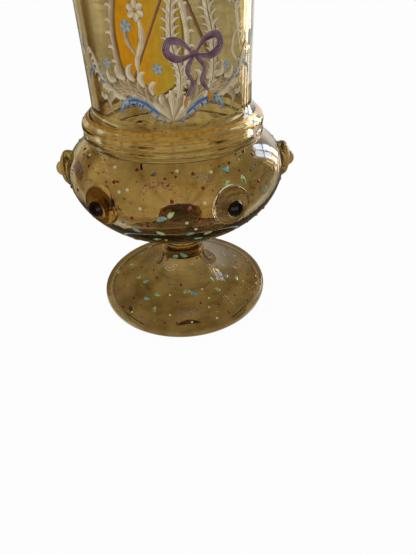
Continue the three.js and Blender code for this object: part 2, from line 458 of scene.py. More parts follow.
class Shader:
    """Builds one node tree in plain steps; a node given as a value stands for its first output."""

    def __init__(self, tree: bpy.types.NodeTree) -> None:
        """Starts on an empty tree."""
        self.tree = tree
        tree.nodes.clear()

    def feed(self, socket: bpy.types.NodeSocket, value: object) -> None:
        """Links a socket or a node to an input, or sets the input's value.

        Args:
            socket: The input.
            value: A socket, a node for its first output, or a plain value.
        """
        if isinstance(value, bpy.types.Node):
            value = value.outputs[0]
        if isinstance(value, bpy.types.NodeSocket):
            self.tree.links.new(value, socket)
        else:
            socket.default_value = value

    def node(self, kind: str, *values: object, **named: object) -> bpy.types.Node:
        """Adds a node and feeds it.

        Args:
            kind: The node's type name without its ShaderNode prefix.
            values: What its first inputs take, in order.
            named: Its properties, or what its inputs take under their names with _ for a space.

        Returns:
            The node.
        """
        made = self.tree.nodes.new("ShaderNode" + kind)
        for key, value in named.items():
            if hasattr(made, key):
                setattr(made, key, value)
            else:
                self.feed(made.inputs[key.replace("_", " ")], value)
        for socket, value in zip(made.inputs, values):
            self.feed(socket, value)
        return made

    def calc(self, operation: str, *values: object) -> bpy.types.Node:
        """Adds a step of arithmetic."""
        return self.node("Math", *values, operation=operation)

    def place(self) -> bpy.types.NodeSocket:
        """Places in the row frame."""
        return self.node("TexCoord").outputs["Object"]

    def noise(self, place: object, scale: float, detail: float = 2.0) -> bpy.types.Node:
        """A noise value at a place."""
        return self.node("TexNoise", Vector=place, Scale=scale, Detail=detail)

    def ramp(self, source: object, stops: Sequence[tuple[float, Colour]]) -> bpy.types.Node:
        """A colour ramp over a value.

        Args:
            source: The value.
            stops: Positions from 0 to 1, each with its colour.

        Returns:
            The ramp's node.
        """
        made = self.node("ValToRGB", source)
        elements = made.color_ramp.elements
        while len(elements) < len(stops):
            elements.new(0.5)
        for element, (position, colour) in zip(elements, stops):
            element.position = position
            element.color = colour
        return made

    def mix(
        self, fac: object, first: object, second: object, blend_type: str = "MIX"
    ) -> bpy.types.NodeSocket:
        """Mixes two colours.

        Args:
            fac: How much of the second, as a socket or a number.
            first: A socket or a colour.
            second: A socket or a colour.
            blend_type: The way of mixing.

        Returns:
            The mixed colour.
        """
        made = self.node("Mix", data_type="RGBA", blend_type=blend_type)
        for index, value in ((0, fac), (6, first), (7, second)):
            self.feed(made.inputs[index], value)
        return made.outputs[2]

    def product(self, first: object, *others: object) -> object:
        """Multiplies colours with each other.

        Args:
            first: A socket or a colour.
            others: More of them.

        Returns:
            The product.
        """
        for other in others:
            first = self.mix(1.0, first, other, "MULTIPLY")
        return first

    def relief(self, place: object, strength: float, scale: float) -> bpy.types.Node:
        """The fine relief that a brush leaves in enamel."""
        return self.node("Bump", Strength=strength, Distance=0.0001, Height=self.noise(place, scale))


def new_material(name: str) -> tuple[bpy.types.Material, Shader]:
    """Makes a material with an empty node tree.

    Args:
        name: The material's name.

    Returns:
        The material, and the shader that fills it.
    """
    made = bpy.data.materials.new(name)
    made.use_nodes = True
    return made, Shader(made.node_tree)


def new_group(
    name: str, inputs: dict[str, float], outputs: Sequence[str]
) -> tuple[Shader, bpy.types.Node, bpy.types.Node]:
    """Makes an empty shader node group whose sockets are plain values.

    Args:
        name: The group's name.
        inputs: Inputs with their defaults.
        outputs: Outputs.

    Returns:
        The shader that fills it, its input node and its output node.
    """
    tree = bpy.data.node_groups.new(name, "ShaderNodeTree")
    for label, value in inputs.items():
        socket = tree.interface.new_socket(label, in_out="INPUT", socket_type="NodeSocketFloat")
        socket.default_value = value
    for label in outputs:
        tree.interface.new_socket(label, in_out="OUTPUT", socket_type="NodeSocketFloat")
    shader = Shader(tree)
    return shader, tree.nodes.new("NodeGroupInput"), tree.nodes.new("NodeGroupOutput")


def shared(make: Callable[[], bpy.types.NodeTree]) -> bpy.types.NodeTree:
    """The node group that a function makes, made only once."""
    return bpy.data.node_groups.get(make.__name__) or make()


class Finish(ABC):
    """A finish of the goblet, which builds its own material."""

    name: str

    @abstractmethod
    def surface(self, shader: Shader, place: bpy.types.NodeSocket) -> bpy.types.Node:
        """The surface's own nodes, at places in the row frame."""

    def material(self) -> bpy.types.Material:
        """Builds the material.

        Returns:
            The material.
        """
        made, shader = new_material(self.name)
        shader.node("OutputMaterial", Surface=self.surface(shader, shader.place()))
        return made


@dataclass(frozen=True)
class Streak:
    """An upright streak of deeper colour, in degrees from the front: most are the blown glass's own, some are
    painted shade.
    """

    azimuth: float
    half_width: float
    depth: float
    core: float = 0.2


# The streaks at -58 and 67 are painted shade: dark bands down the left and the right side; the others are
# deeper colour in the glass.
STREAKS = (
    Streak(-147, 5.0, 0.5),
    Streak(-97, 4.0, 0.45),
    Streak(-58, 8.0, 1.0, 5.6),
    Streak(-37, 1.8, 0.3),
    Streak(8, 2.4, 0.22),
    Streak(67, 3.6, 0.95, 1.0),
    Streak(90, 4.5, 0.5),
    Streak(146, 5.0, 0.45),
)


def glass_streaks_and_painted_shade() -> bpy.types.NodeTree:
    """Makes the group for the streaks that all parts of one gather share, glass colour and painted shade.

    Returns:
        A group that puts out how much light stays, from 0 to 1.
    """
    shader, given, result = new_group("glass_streaks_and_painted_shade", {"Strength": 0.5}, ("Light",))
    split = shader.node("SeparateXYZ", shader.place())
    front = shader.calc("MULTIPLY", split.outputs["Y"], -1.0)
    turn = shader.node("MapRange", shader.calc("ARCTAN2", split.outputs["X"], front), -math.pi, math.pi)
    stops = []
    for streak in STREAKS:
        edge, core, shade = streak.half_width, streak.core, grey(1 - streak.depth)
        for offset, level in ((-edge, LIT), (-core, shade), (core, shade), (edge, LIT)):
            stops.append(((streak.azimuth + offset + 180) / 360, level))
    drawn = shader.node("CombineXYZ", X=turn, Z=split.outputs["Z"])
    fine = shader.ramp(shader.noise(drawn, 70.0, 3.0), ((0.3, grey(0.7)), (0.6, LIT)))
    both = shader.product(shader.ramp(turn, stops), fine)
    shader.feed(result.inputs["Light"], shader.mix(given.outputs["Strength"], LIT, both))
    return shader.tree


@dataclass(frozen=True)
class Glass(Finish):
    """Tinted blown glass; its tints are heights in millimetres, each with a colour."""

    name: str
    tints: tuple[tuple[float, Screen], ...]
    roughness: float = 0.02
    ior: float = 1.42
    patch_scale: float = 60.0
    patch_depth: float = 0.14
    dashes: float = 0.12
    dash_scale: float = 620.0
    dash_squeeze: tuple[float, float, float] = (0.12, 0.12, 1.0)
    shaded: float = 0.0
    shaded_from: float = 18.0
    shaded_to: float = 44.0
    spread: float = 0.32
    spread_top: float = 2.0
    spread_end: float = -4.0
    streaks: float = 0.9
    deep: Colour = (0.3, 0.17, 0.02, 1.0)
    ripple: float = 0.09
    ripple_depth: float = 0.002
    wave_scale: float = 45.0
    fine_wave_scale: float = 260.0
    fine_share: float = 0.16
    sheen: Colour = (0.34, 0.3, 0.25, 1.0)

    def tint(self, shader: Shader, place: bpy.types.NodeSocket) -> object:
        """The tint by height, with soft patches, streaks, short dashes and painted shade on the bulb's right
        side.

        Args:
            shader: The material's tree.
            place: Places in the row frame.

        Returns:
            The colour.
        """
        split = shader.node("SeparateXYZ", place)
        height = split.outputs["Z"]
        stops = [(level / FORM.rim, linear(colour)) for level, colour in self.tints]
        by_height = shader.ramp(shader.node("MapRange", height, 0.0, FORM.rim * MM), stops)
        cloud = shader.noise(place, self.patch_scale)
        patches = shader.ramp(cloud, ((0.36, grey(1 - self.patch_depth)), (0.64, LIT)))
        # Streaks: deeper glass colour, and painted shade in some of them.
        marks = shader.node("Group", node_tree=shared(glass_streaks_and_painted_shade), Strength=self.streaks)
        top, end = (FORM.waist_base + edge for edge in (self.spread_top, self.spread_end))
        low = shader.node("MapRange", height, top * MM, end * MM, 0.0, self.spread)
        depth = shader.mix(shader.calc("MAXIMUM", marks.outputs["Light"], low), self.deep, LIT)
        squeezed = shader.node("VectorMath", place, self.dash_squeeze, operation="MULTIPLY")
        dark = 1 - self.dashes
        dashes = ((0.54, LIT), (0.64, (dark, dark * 0.94, dark * 0.8, 1.0)))
        speckle = shader.ramp(shader.noise(squeezed, self.dash_scale), dashes)
        whole = shader.product(by_height, patches, depth, speckle)
        # Painted shade: shaded darkens the bulb's right side.
        if not self.shaded:
            return whole
        side = shader.node("MapRange", split.outputs["X"], self.shaded_from * MM, self.shaded_to * MM)
        kept = 1 - self.shaded / self.spread
        shade = shader.mix(shader.calc("MULTIPLY", side, low), LIT, (kept, kept, kept * 1.1, 1.0))
        return shader.product(whole, shade)

    def surface(self, shader: Shader, place: bpy.types.NodeSocket) -> bpy.types.Node:
        """Tinted transmission that lets lamps through for soft shadows.

        Args:
            shader: The material's tree.
            place: Places in the row frame.

        Returns:
            The last of its nodes.
        """
        tint = self.tint(shader, place)
        slow, fine = (shader.noise(place, scale, 1.0) for scale in (self.wave_scale, self.fine_wave_scale))
        waves = shader.mix(self.fine_share, slow, fine)
        body = shader.node(
            "BsdfPrincipled",
            Base_Color=tint,
            Roughness=self.roughness,
            IOR=self.ior,
            Transmission_Weight=1.0,
            Specular_Tint=self.sheen,
            Normal=shader.node("Bump", Strength=self.ripple, Distance=self.ripple_depth, Height=waves),
        )
        lamps = shader.node("LightPath").outputs["Is Shadow Ray"]
        clear = shader.node("BsdfTransparent", Color=tint)
        return shader.node("MixShader", lamps, body, clear)


@dataclass
class Bowl:
    """Cup and bulb as one blown wall, and the two rings that are tooled on it."""

    glass: Glass
    ring_glass: Glass
    segments: int = 256
    panels: int = 14
    panel_depth: float = 0.05
    panel_fade: float = 12.0
    crease_room: float = 0.4

    def optic(self, azimuth: float, height: float) -> float:
        """The faint upright panels that the mould leaves in the cup's side."""
        fade = min(1.0, max(0.0, (height - FORM.skirt_top) / self.panel_fade))
        return -self.panel_depth * fade * (0.5 + 0.5 * math.cos(math.radians(azimuth * self.panels)))

    def build(self) -> Iterator[bpy.types.Object]:
        """Builds the bowl and both rings.

        Yields:
            Each piece.
        """
        f = FORM
        lip = f.cup_wall / 2
        finish, ring_finish = self.glass.material(), self.ring_glass.material()
        lower_ring, upper_ring = f.lower_ring(), f.upper_ring()
        crease = lower_ring[0]
        outside = [p for p in f.bulb() if p[1] < crease[1] - self.crease_room] + [crease]
        inner = f.bulb(f.bulb_wall, f.bulb_floor)
        inside = join(inner, f.waist(inner[-1], f.cup_wall), f.cup(f.cup_wall, f.cup_base, f.rim - lip))
        lip_arc = arc((f.cup_radius - lip, f.rim - lip), lip, lip, 0, 180, 12)
        above = join(f.cup(0.0, f.skirt_top, f.rim - lip), lip_arc, inside[::-1])
        above[0] = upper_ring[-1]
        bowl = MeshBuilder("bowl_glass").revolve(outside, self.segments)
        bowl.revolve(above, self.segments, self.optic)
        yield bowl.build([finish], "body_glass", "bowl")
        groove = (upper_ring[0][0], f.groove_height)
        for node, profile in (
            ("lower_collar_ring", lower_ring + [groove]),
            ("upper_collar_ring", [groove] + upper_ring),
        ):
            ring = MeshBuilder(node + "_glass").revolve(profile, self.segments)
            yield ring.build([ring_finish], "ring_glass", node)


@dataclass
class FootAndStem:
    """Hollow trumpet foot with a folded rim, and the button-shaped merese over it."""

    glass: Glass
    merese_glass: Glass
    segments: int = 224
    hollow_edge: float = 1.9
    hem_width: float = 0.4
    hem_rise: float = 0.3
    fold_round: float = 0.8
    fold_ease: float = 1.2
    neck_bend: float = 0.2
    neck_rise: float = 1.6
    flare_drop: float = 2.0
    seat_inset: float = 0.5

    def underside(self) -> list[Flat]:
        """The hollow's face, from the crown down to the ring that it stands on.

        Returns:
            The profile.
        """
        f = FORM
        outer = f.tread()
        top = f.foot_height - f.stem_crown
        hollow = f.stem_radius - f.stem_wall
        inner = []
        for i, (here, after) in enumerate(zip(outer, outer[1:])):
            slope = Vector((after[0] - here[0], after[1] - here[1])).normalized()
            wall = f.foot_wall + (f.stem_wall - f.foot_wall) * i / len(outer)
            point = (here[0] - slope.y * wall, here[1] + slope.x * wall)
            if point[1] < top - hollow / 2 and point[0] > 0:
                inner.append(point)
        inner[0] = (f.foot_radius - f.fold_width, max(inner[0][1], self.hollow_edge))
        crown = arc((0.0, top - hollow / 2), hollow, hollow / 2, 90, 0, 12)
        crown[0] = (0.0, top)
        return join(crown, inner[::-1])

    def foot(self) -> list[Flat]:
        """The foot from the hollow's crown round the folded rim to the stem's top.

        Returns:
            The profile.
        """
        f = FORM
        half = f.fold_height / 2
        inner = f.foot_radius - f.fold_width
        edge = arc((f.foot_radius - half, half), half, half, -90, 78, 20)
        handles = ((edge[-1][0] - self.fold_round, f.fold_height), (inner + self.fold_ease, f.fold_height))
        fold_lip = bezier((edge[-1], *handles, f.tread()[0]), 5)
        hem = [(inner, self.hem_rise), (inner + self.hem_width, 0.0)]
        return join(self.underside(), hem, edge, fold_lip, f.tread(), [(0.0, f.foot_height)])

    def merese(self) -> list[Flat]:
        """The merese from its base round the disc and the neck to its seat under the bulb.

        Returns:
            The profile.
        """
        f = FORM
        base = f.foot_height + f.seat_gap
        half = f.merese_disc / 2
        flare_z = f.bulb_equator - f.bulb_depth * math.sqrt(1 - (f.merese_flare / f.bulb_radius) ** 2)
        rim = arc((f.merese_radius - half, base + half), half, half, -90, 90, 16)
        start = (f.merese_neck, base + f.merese_disc)
        lower = (f.merese_neck - self.neck_bend, start[1] + self.neck_rise)
        upper = (f.merese_neck, flare_z - self.flare_drop)
        neck = bezier((start, lower, upper, (f.merese_flare, flare_z - f.seat_gap)), 10)
        seat = [(r, z - f.seat_gap) for r, z in f.bulb() if r < f.merese_flare - self.seat_inset]
        return join([(0.0, base)], rim, neck, seat[::-1])

    def build(self) -> Iterator[bpy.types.Object]:
        """Builds the foot and the merese.

        Yields:
            Each piece.
        """
        foot = MeshBuilder("foot_glass").revolve(self.foot(), self.segments)
        yield foot.build([self.glass.material()], "body_glass", "foot")
        merese = MeshBuilder("merese_glass").revolve(self.merese(), self.segments)
        yield merese.build([self.merese_glass.material()], "ring_glass", "merese")


@dataclass
class Prunts:
    """Six beehive prunts laid on as a spiral thread, each with a near-black jewel; some carry painted light
    and shade.
    """

    pale: Glass
    deep: Glass
    side: Glass
    dark_jewel: Glass
    painted_light_jewel: Glass
    deep_azimuths: tuple[float, ...] = (-37,)
    amber_azimuths: tuple[float, ...] = (-90, 88)
    turns: float = 3.0
    thread: float = 0.3
    seat_curve: float = 0.7
    root_span: Flat = (0.05, 0.95)
    segments: int = 96
    rows: int = 48
    jewel_segments: int = 48

    def lift(self, share: float, turn: float) -> float:
        """Height of the thread over the dome at a share of the way up and a turn round it."""
        phase = share * self.turns - turn
        return self.thread * math.sqrt(math.sin(math.pi * share)) * abs(math.sin(math.pi * phase)) ** 0.8

    @staticmethod
    def place(azimuth: float) -> Matrix:
        """The turn and move that set a prunt's own +Z out of the bulb.

        Args:
            azimuth: Degrees from the front.

        Returns:
            The matrix.
        """
        out = Matrix.Rotation(math.radians(90), 4, "X")
        out.translation = Vector((0, -FORM.bulb_radius, FORM.bulb_equator - FORM.prunt_sink)) * MM
        return Matrix.Rotation(math.radians(azimuth), 4, "Z") @ out

    def dome(self, share: float, turn: float) -> Vector:
        """A point on the dome, from its edge up.

        Args:
            share: Share of the way, from 0 to 1.
            turn: Share of a turn round the prunt.

        Returns:
            The point in millimetres.
        """
        slope, lift = share * math.pi / 2, self.lift(share, turn)
        flat = swing((FORM.prunt_radius + lift) * math.cos(slope), 360 * turn)
        return Vector((*flat, (FORM.prunt_dome + lift) * math.sin(slope)))

    def back(self, share: float, turn: float) -> Vector:
        """A point of the root, sunk along the prunt's axis until it rests on the bulb.

        Args:
            share: Share of the way, from 0 to 1.
            turn: Share of a turn round the prunt.

        Returns:
            The point in millimetres.
        """
        inner, outer = self.root_span
        point = self.dome(0.0, turn) * (inner + (outer - inner) * share)
        radius = FORM.bulb_side(FORM.bulb_equator - FORM.prunt_sink + point.y) + FORM.seat_gap
        return Vector((point.x, point.y, math.sqrt(max(0.0, radius**2 - point.x**2)) - FORM.bulb_radius))

    def seat(self, share: float, turn: float) -> Vector:
        """A point of the jewel's seat, from its middle out.

        Args:
            share: Share of the way, from 0 to 1.
            turn: Share of a turn round the prunt.

        Returns:
            The point in millimetres.
        """
        radius = (FORM.jewel_radius + FORM.seat_gap) * share
        floor = FORM.jewel_seat - FORM.jewel_back - FORM.seat_gap
        rise = (FORM.jewel_seat - floor) * (1 - math.sqrt(max(0.0, 1 - share**2))) * self.seat_curve
        return Vector((*swing(radius, 360 * turn), floor + rise))

    def pad(self, builder: MeshBuilder, matrix: Matrix) -> None:
        """Builds one pad with its back, its thread and the jewel's seat.

        Args:
            builder: Takes the faces.
            matrix: Sets the prunt on the bulb.
        """
        last = math.acos((FORM.jewel_radius + FORM.seat_gap) / FORM.prunt_radius) / (math.pi / 2)
        rings = [(self.back, share, 0.1 * share) for share in (0.0, 0.25, 0.5, 0.75, 1.0)]
        steps = [row / self.rows for row in range(self.rows + 1)]
        rings += [(self.dome, last * step, 0.1 + 0.8 * step) for step in steps]
        rings += [(self.seat, share, 1 - 0.1 * share) for share in (1.0, 0.8, 0.5, 0.2)]
        turns = [k / self.segments for k in range(self.segments)]
        rows = []
        for make, share, v in rings:
            rows.append([(matrix @ (make(share, turn) * MM), (turn, v)) for turn in turns])
        numbers = builder.sheet(rows, closed=True)
        builder.face(numbers[0][::-1])
        builder.face(numbers[-1])

    def build(self) -> Iterator[bpy.types.Object]:
        """Builds all prunts and jewels.

        Yields:
            Each piece.
        """
        pale, deep, side = (glass.material() for glass in (self.pale, self.deep, self.side))
        dark, amber = self.dark_jewel.material(), self.painted_light_jewel.material()
        back = arc((0.0, FORM.jewel_seat), FORM.jewel_radius, FORM.jewel_back, -90, 0, 8)
        stone = join(back, arc((0.0, FORM.jewel_seat), FORM.jewel_radius, FORM.jewel_dome, 0, 90, 16))
        for number, azimuth in enumerate(FORM.prunt_azimuths, start=1):
            matrix = self.place(azimuth)
            at_side = azimuth in self.amber_azimuths
            # Painted shade: the front-left prunt and the prunts in profile wear darker copies of the prunt
            # glass.
            finish = deep if azimuth in self.deep_azimuths else side if at_side else pale
            pad = MeshBuilder(f"prunt_{number}_glass")
            self.pad(pad, matrix)
            yield pad.build([finish], "prunt_glass", f"prunt_{number}")
            # Painted light: the jewels in profile wear a lighter amber copy of the near-black jewel glass.
            jewel = MeshBuilder(f"jewel_{number}_stone").revolve(stone, self.jewel_segments, matrix=matrix)
            yield jewel.build([amber if at_side else dark], "jewel_glass", f"jewel_{number}")


@dataclass
class PhotoCamera:
    """The camera at the photograph's place, found from the foot's circles, the bulb and the cup."""

    place: tuple[float, float, float] = (0.0, -192.93, 155.82)
    pitch: float = 38.498
    yaw: float = -4.325
    roll: float = 1.454
    focal: float = 385.0
    width: int = 416
    height: int = 555

    def axes(self) -> tuple[Vector, Vector, Vector]:
        """The camera's directions in the row frame.

        Returns:
            The image's right, the image's down and the line of sight.
        """
        pitch, yaw, roll = (math.radians(v) for v in (self.pitch, self.yaw, self.roll))
        right = Vector((math.cos(yaw), math.sin(yaw), 0))
        ahead = Vector((-math.sin(yaw) * math.cos(pitch), math.cos(yaw) * math.cos(pitch), -math.sin(pitch)))
        down = ahead.cross(right)
        turned_right = math.cos(roll) * right + math.sin(roll) * down
        return turned_right, -math.sin(roll) * right + math.cos(roll) * down, ahead

    def ray(self, px: float, py: float) -> tuple[Vector, Vector]:
        """The line of sight through a pixel.

        Args:
            px: Pixels from the left.
            py: Pixels from the top.

        Returns:
            Its start in metres, and its direction.
        """
        right, down, ahead = self.axes()
        across = (px - self.width / 2) / self.focal
        below = (py - self.height / 2) / self.focal
        return Vector(self.place) * MM, (ahead + across * right + below * down).normalized()

    def build(self) -> None:
        """Makes the scene's camera."""
        right, down, ahead = self.axes()
        data = bpy.data.cameras.new("photo_camera")
        data.sensor_width = 36.0
        data.lens = self.focal / max(self.width, self.height) * data.sensor_width
        data.clip_start = 0.01
        camera = linked("photo_camera", data)
        turn = Matrix((right, -down, -ahead)).transposed().to_4x4()
        turn.translation = Vector(self.place) * MM
        camera.matrix_world = turn
        bpy.context.scene.camera = camera


@dataclass(frozen=True)
class Enamel(Finish):
    """Glossy opaque enamel, fired on glass, in two tones."""

    name: str
    colour: Screen
    second: Screen
    roughness: float = 0.28
    grain: float = 900.0

    def surface(self, shader: Shader, place: bpy.types.NodeSocket) -> bpy.types.Node:
        """Two tones of one colour in brushed patches, under a thin flux gloss.

        Args:
            shader: The material's tree.
            place: Places in the row frame.

        Returns:
            The last of its nodes.
        """
        tones = ((0.38, linear(self.colour)), (0.62, linear(self.second)))
        return shader.node(
            "BsdfPrincipled",
            Base_Color=shader.ramp(shader.noise(place, self.grain, 3.0), tones),
            Roughness=self.roughness,
            IOR=1.5,
            Coat_Weight=0.3,
            Coat_Roughness=0.12,
            Normal=shader.relief(place, 0.25, self.grain * 3),
        )


@dataclass(frozen=True)
class Gilding(Finish):
    """Burnished gold, rubbed thin in places."""

    name: str = "gilding"
    bright: Screen = (228, 172, 70)
    dull: Screen = (176, 122, 40)
    wear: float = 0.15
    rub_scale: float = 500.0
    wear_scale: float = 900.0

    def surface(self, shader: Shader, place: bpy.types.NodeSocket) -> bpy.types.Node:
        """Metal whose colour and roughness vary, worn through in spots.

        Args:
            shader: The material's tree.
            place: Places in the row frame.

        Returns:
            The last of its nodes.
        """
        rub, worn = shader.noise(place, self.rub_scale, 3.0), shader.noise(place, self.wear_scale)
        return shader.node(
            "BsdfPrincipled",
            Base_Color=shader.ramp(rub, ((0.35, linear(self.dull)), (0.65, linear(self.bright)))),
            Metallic=0.5,
            Roughness=shader.node("MapRange", rub, 0.0, 1.0, 0.45, 0.2),
            Alpha=shader.ramp(worn, ((0.34, grey(1 - self.wear)), (0.5, LIT))),
        )


class Palette(Enum):
    """Finishes in the order of their material slots."""

    @property
    def slot(self) -> int:
        """The number of the finish's material slot."""
        return list(type(self)).index(self)

    @classmethod
    def materials(cls) -> list[bpy.types.Material]:
        """Builds all materials in slot order."""
        return [finish.value.material() for finish in cls]


class Paint(Palette):
    """The enamels and the gilding of the strewn marks."""

    RUBY = Enamel("enamel_ruby", (132, 8, 6), (88, 4, 4), 0.16)
    WHITE = Enamel("enamel_white", (214, 202, 172), (184, 170, 138))
    AMBER = Enamel("enamel_amber", (186, 136, 20), (150, 98, 12))
    BLUE = Enamel("enamel_blue", (94, 104, 138), (66, 76, 112))
    PINK = Enamel("enamel_pink", (158, 98, 96), (132, 74, 74))
    LILAC = Enamel("enamel_lilac", (128, 118, 122), (100, 90, 96))
    TURQUOISE = Enamel("enamel_turquoise", (136, 180, 166), (78, 118, 106))
    GREEN = Enamel("enamel_green", (188, 194, 138), (88, 116, 72))
    GOLD = Gilding("thread_gold", (164, 122, 54), (116, 82, 32))
    # Dark gold flecks, and also the flat patches of painted dark reflection on the foot.
    FLECK = Enamel("gold_fleck_and_painted_reflection", (92, 62, 26), (52, 34, 14), 0.3)


@dataclass(frozen=True)
class Spot:
    """A place on the glass with the directions that an enameller works in."""

    place: Vector
    out: Vector

    @property
    def up(self) -> Vector:
        """Upward, or inward on the foot, along the glass."""
        rise = Vector((0, 0, 1)) - self.out * self.out.z
        return (rise if rise.length >= 1e-3 else Vector((-self.place.x, -self.place.y, 0))).normalized()

    @property
    def right(self) -> Vector:
        """To the right along the glass, as seen from outside."""
        return self.up.cross(self.out).normalized()

    def offset(self, across: float, along: float) -> Vector:
        """A point in millimetres from the spot along the glass's tangents, in metres."""
        return self.place + (self.right * across + self.up * along) * MM


class Canvas:
    """A glass surface that marks are laid on."""

    def __init__(self, profile: Sequence[Flat], segments: int = 192) -> None:
        """Makes a search tree of the revolved face, from its profile in millimetres."""
        draft = MeshBuilder("canvas").revolve(profile, segments)
        self.tree = BVHTree.FromPolygons([tuple(v) for v in draft.vertices], draft.faces)

    def snap(self, near: Vector) -> Spot:
        """The spot nearest to a point in metres."""
        return Spot(*self.tree.find_nearest(near)[:2])

    def seen_at(self, camera: PhotoCamera, px: float, py: float) -> Spot | None:
        """The spot that a pixel of the photograph shows, or None where it misses."""
        place, normal, _, _ = self.tree.ray_cast(*camera.ray(px, py))
        return Spot(place, normal) if place else None


@dataclass
class Enameller:
    """Lays beads, leaves, dotted arcs and gold threads on a canvas; their sizes are in millimetres."""

    canvas: Canvas
    builder: MeshBuilder
    dice: random.Random
    leaf_steps: int = 10
    leaf_ribs: int = 5
    leaf_bow: float = 0.1
    leaf_lift: float = 0.03
    thread_width: float = 0.16
    thread_lift: float = 0.05
    thread_waver: float = 0.35
    tightest_curl: float = 2.2
    dot_radius: float = 0.5
    dot_spacing: float = 1.6
    dot_row_spacing: float = 1.7

    def bead(self, spot: Spot, radius: float, paint: Paint, sides: int = 10, height: float = 0.55) -> None:
        """Lays one raised bead.

        Args:
            spot: Where it lies.
            radius: Its radius.
            paint: Its enamel.
            sides: Facets round it.
            height: Its height as a share of its radius.
        """
        rows = []
        for share in (0.0, 0.35, 0.68):
            size, rise = polar((0, 0), radius, radius * height, 90 * share)
            corners = [swing(size, 360 * k / sides) for k in range(sides)]
            places = [spot.offset(*corner) + spot.out * rise * MM for corner in corners]
            rows.append([(place, (k / sides, share)) for k, place in enumerate(places)])
        rows.append([(spot.place + spot.out * radius * height * MM, (0.5, 1.0))])
        self.builder.sheet(rows, paint.slot, closed=True)

    def leaf(
        self, spot: Spot, length: float, width: float, turn: float, paint: Paint, crown: float = 0.3
    ) -> None:
        """Lays one domed almond leaf.

        Args:
            spot: Its middle.
            length: From tip to tip.
            width: Across its middle.
            turn: Degrees from the right, anticlockwise.
            paint: Its enamel.
            crown: Height of its middle.
        """
        cos, sin = swing(1.0, turn)
        rows = []
        for i in range(self.leaf_steps, -1, -1):
            share = 0.01 + 0.98 * i / self.leaf_steps
            swell = math.sin(math.pi * share)
            row = []
            for side in (2 * j / (self.leaf_ribs - 1) - 1 for j in range(self.leaf_ribs)):
                x = (share - 0.5) * length
                y = side * width / 2 * swell**0.75 + self.leaf_bow * length * swell
                base = self.canvas.snap(spot.offset(x * cos - y * sin, x * sin + y * cos))
                lift = self.leaf_lift + crown * (1 - side**2) * swell**0.5
                row.append((base.place + base.out * lift * MM, (share, (side + 1) / 2)))
            rows.append(row)
        self.builder.sheet(rows, paint.slot)

    def ribbon(self, path: Sequence[Vector], width: float, lift: float, paint: Paint) -> None:
        """Lays a thin raised line through points near the glass.

        Args:
            path: Points in metres.
            width: The line's width.
            lift: Height of its middle.
            paint: Its enamel or gold.
        """
        rows = []
        for i, point in enumerate(path):
            ahead = path[min(i + 1, len(path) - 1)] - path[max(i - 1, 0)]
            base = self.canvas.snap(point)
            side = base.out.cross(ahead).normalized()
            taper = min(1.0, 0.25 + 4 * min(i, len(path) - 1 - i) / len(path))
            row = []
            for share, rise in ((-0.5, 0.02), (0.0, lift), (0.5, 0.02)):
                spread = base.place + (side * share * width * taper + base.out * rise) * MM
                row.append((spread, (i / len(path), share + 0.5)))
            rows.append(row)
        self.builder.sheet(rows, paint.slot)

    def thread(self, spot: Spot, length: float, curl: float, step: float = 0.6) -> None:
        """Lays a gold thread that wanders from a spot.

        Args:
            spot: Where it starts.
            length: Its length.
            curl: How hard it turns, in degrees a millimetre.
            step: Length of one of its segments.
        """
        heading = self.dice.uniform(0, 360)
        bend = self.dice.choice((-1, 1)) * curl
        tightest = self.tightest_curl * curl
        path = [spot.place]
        for _ in range(int(length / step)):
            heading += bend * step
            bend += self.dice.uniform(-self.thread_waver, self.thread_waver) * curl
            bend = max(-tightest, min(tightest, bend))
            spot = self.canvas.snap(spot.offset(*swing(step, heading)))
            path.append(spot.place)
        self.ribbon(path, self.thread_width, self.thread_lift, Paint.GOLD)

    def dotted_arc(
        self, spot: Spot, radius: float, spread: float, turn: float, paint: Paint, rows: int = 2
    ) -> None:
        """Lays small beads in one or more arcs.

        Args:
            spot: The middle of the arc.
            radius: Of the inner row.
            spread: Degrees that the arc spans.
            turn: Degrees to which the arc's back points, from the right, anticlockwise.
            paint: The beads' enamel.
            rows: Rows of beads.
        """
        centre = swing(-radius, turn)
        for size in (radius + self.dot_row_spacing * row for row in range(rows)):
            count = max(3, int(math.radians(spread) * size / self.dot_spacing))
            for corner in arc(centre, size, size, turn - spread / 2, turn + spread / 2, count):
                self.bead(self.canvas.snap(spot.offset(*corner)), self.dot_radius, paint, 8)


@dataclass(frozen=True)
class Marks:
    """The marks on one face that the photograph shows, by their pixels.

    Beads have a paint, a radius and places, and leaves a paint and places with a turn in degrees. Arcs have
    a paint and places with a radius, a spread, a turn and rows, and the painted dark reflections are places
    with a length, a width and a turn.
    """

    beads: tuple[tuple[Paint, float, tuple[tuple[int, int], ...]], ...]
    leaves: tuple[tuple[Paint, tuple[tuple[int, int, int], ...]], ...]
    arcs: tuple[tuple[Paint, tuple[tuple[int, int, float, float, float, int], ...]], ...]
    smudges: tuple[tuple[int, int, float, float, float], ...] = ()


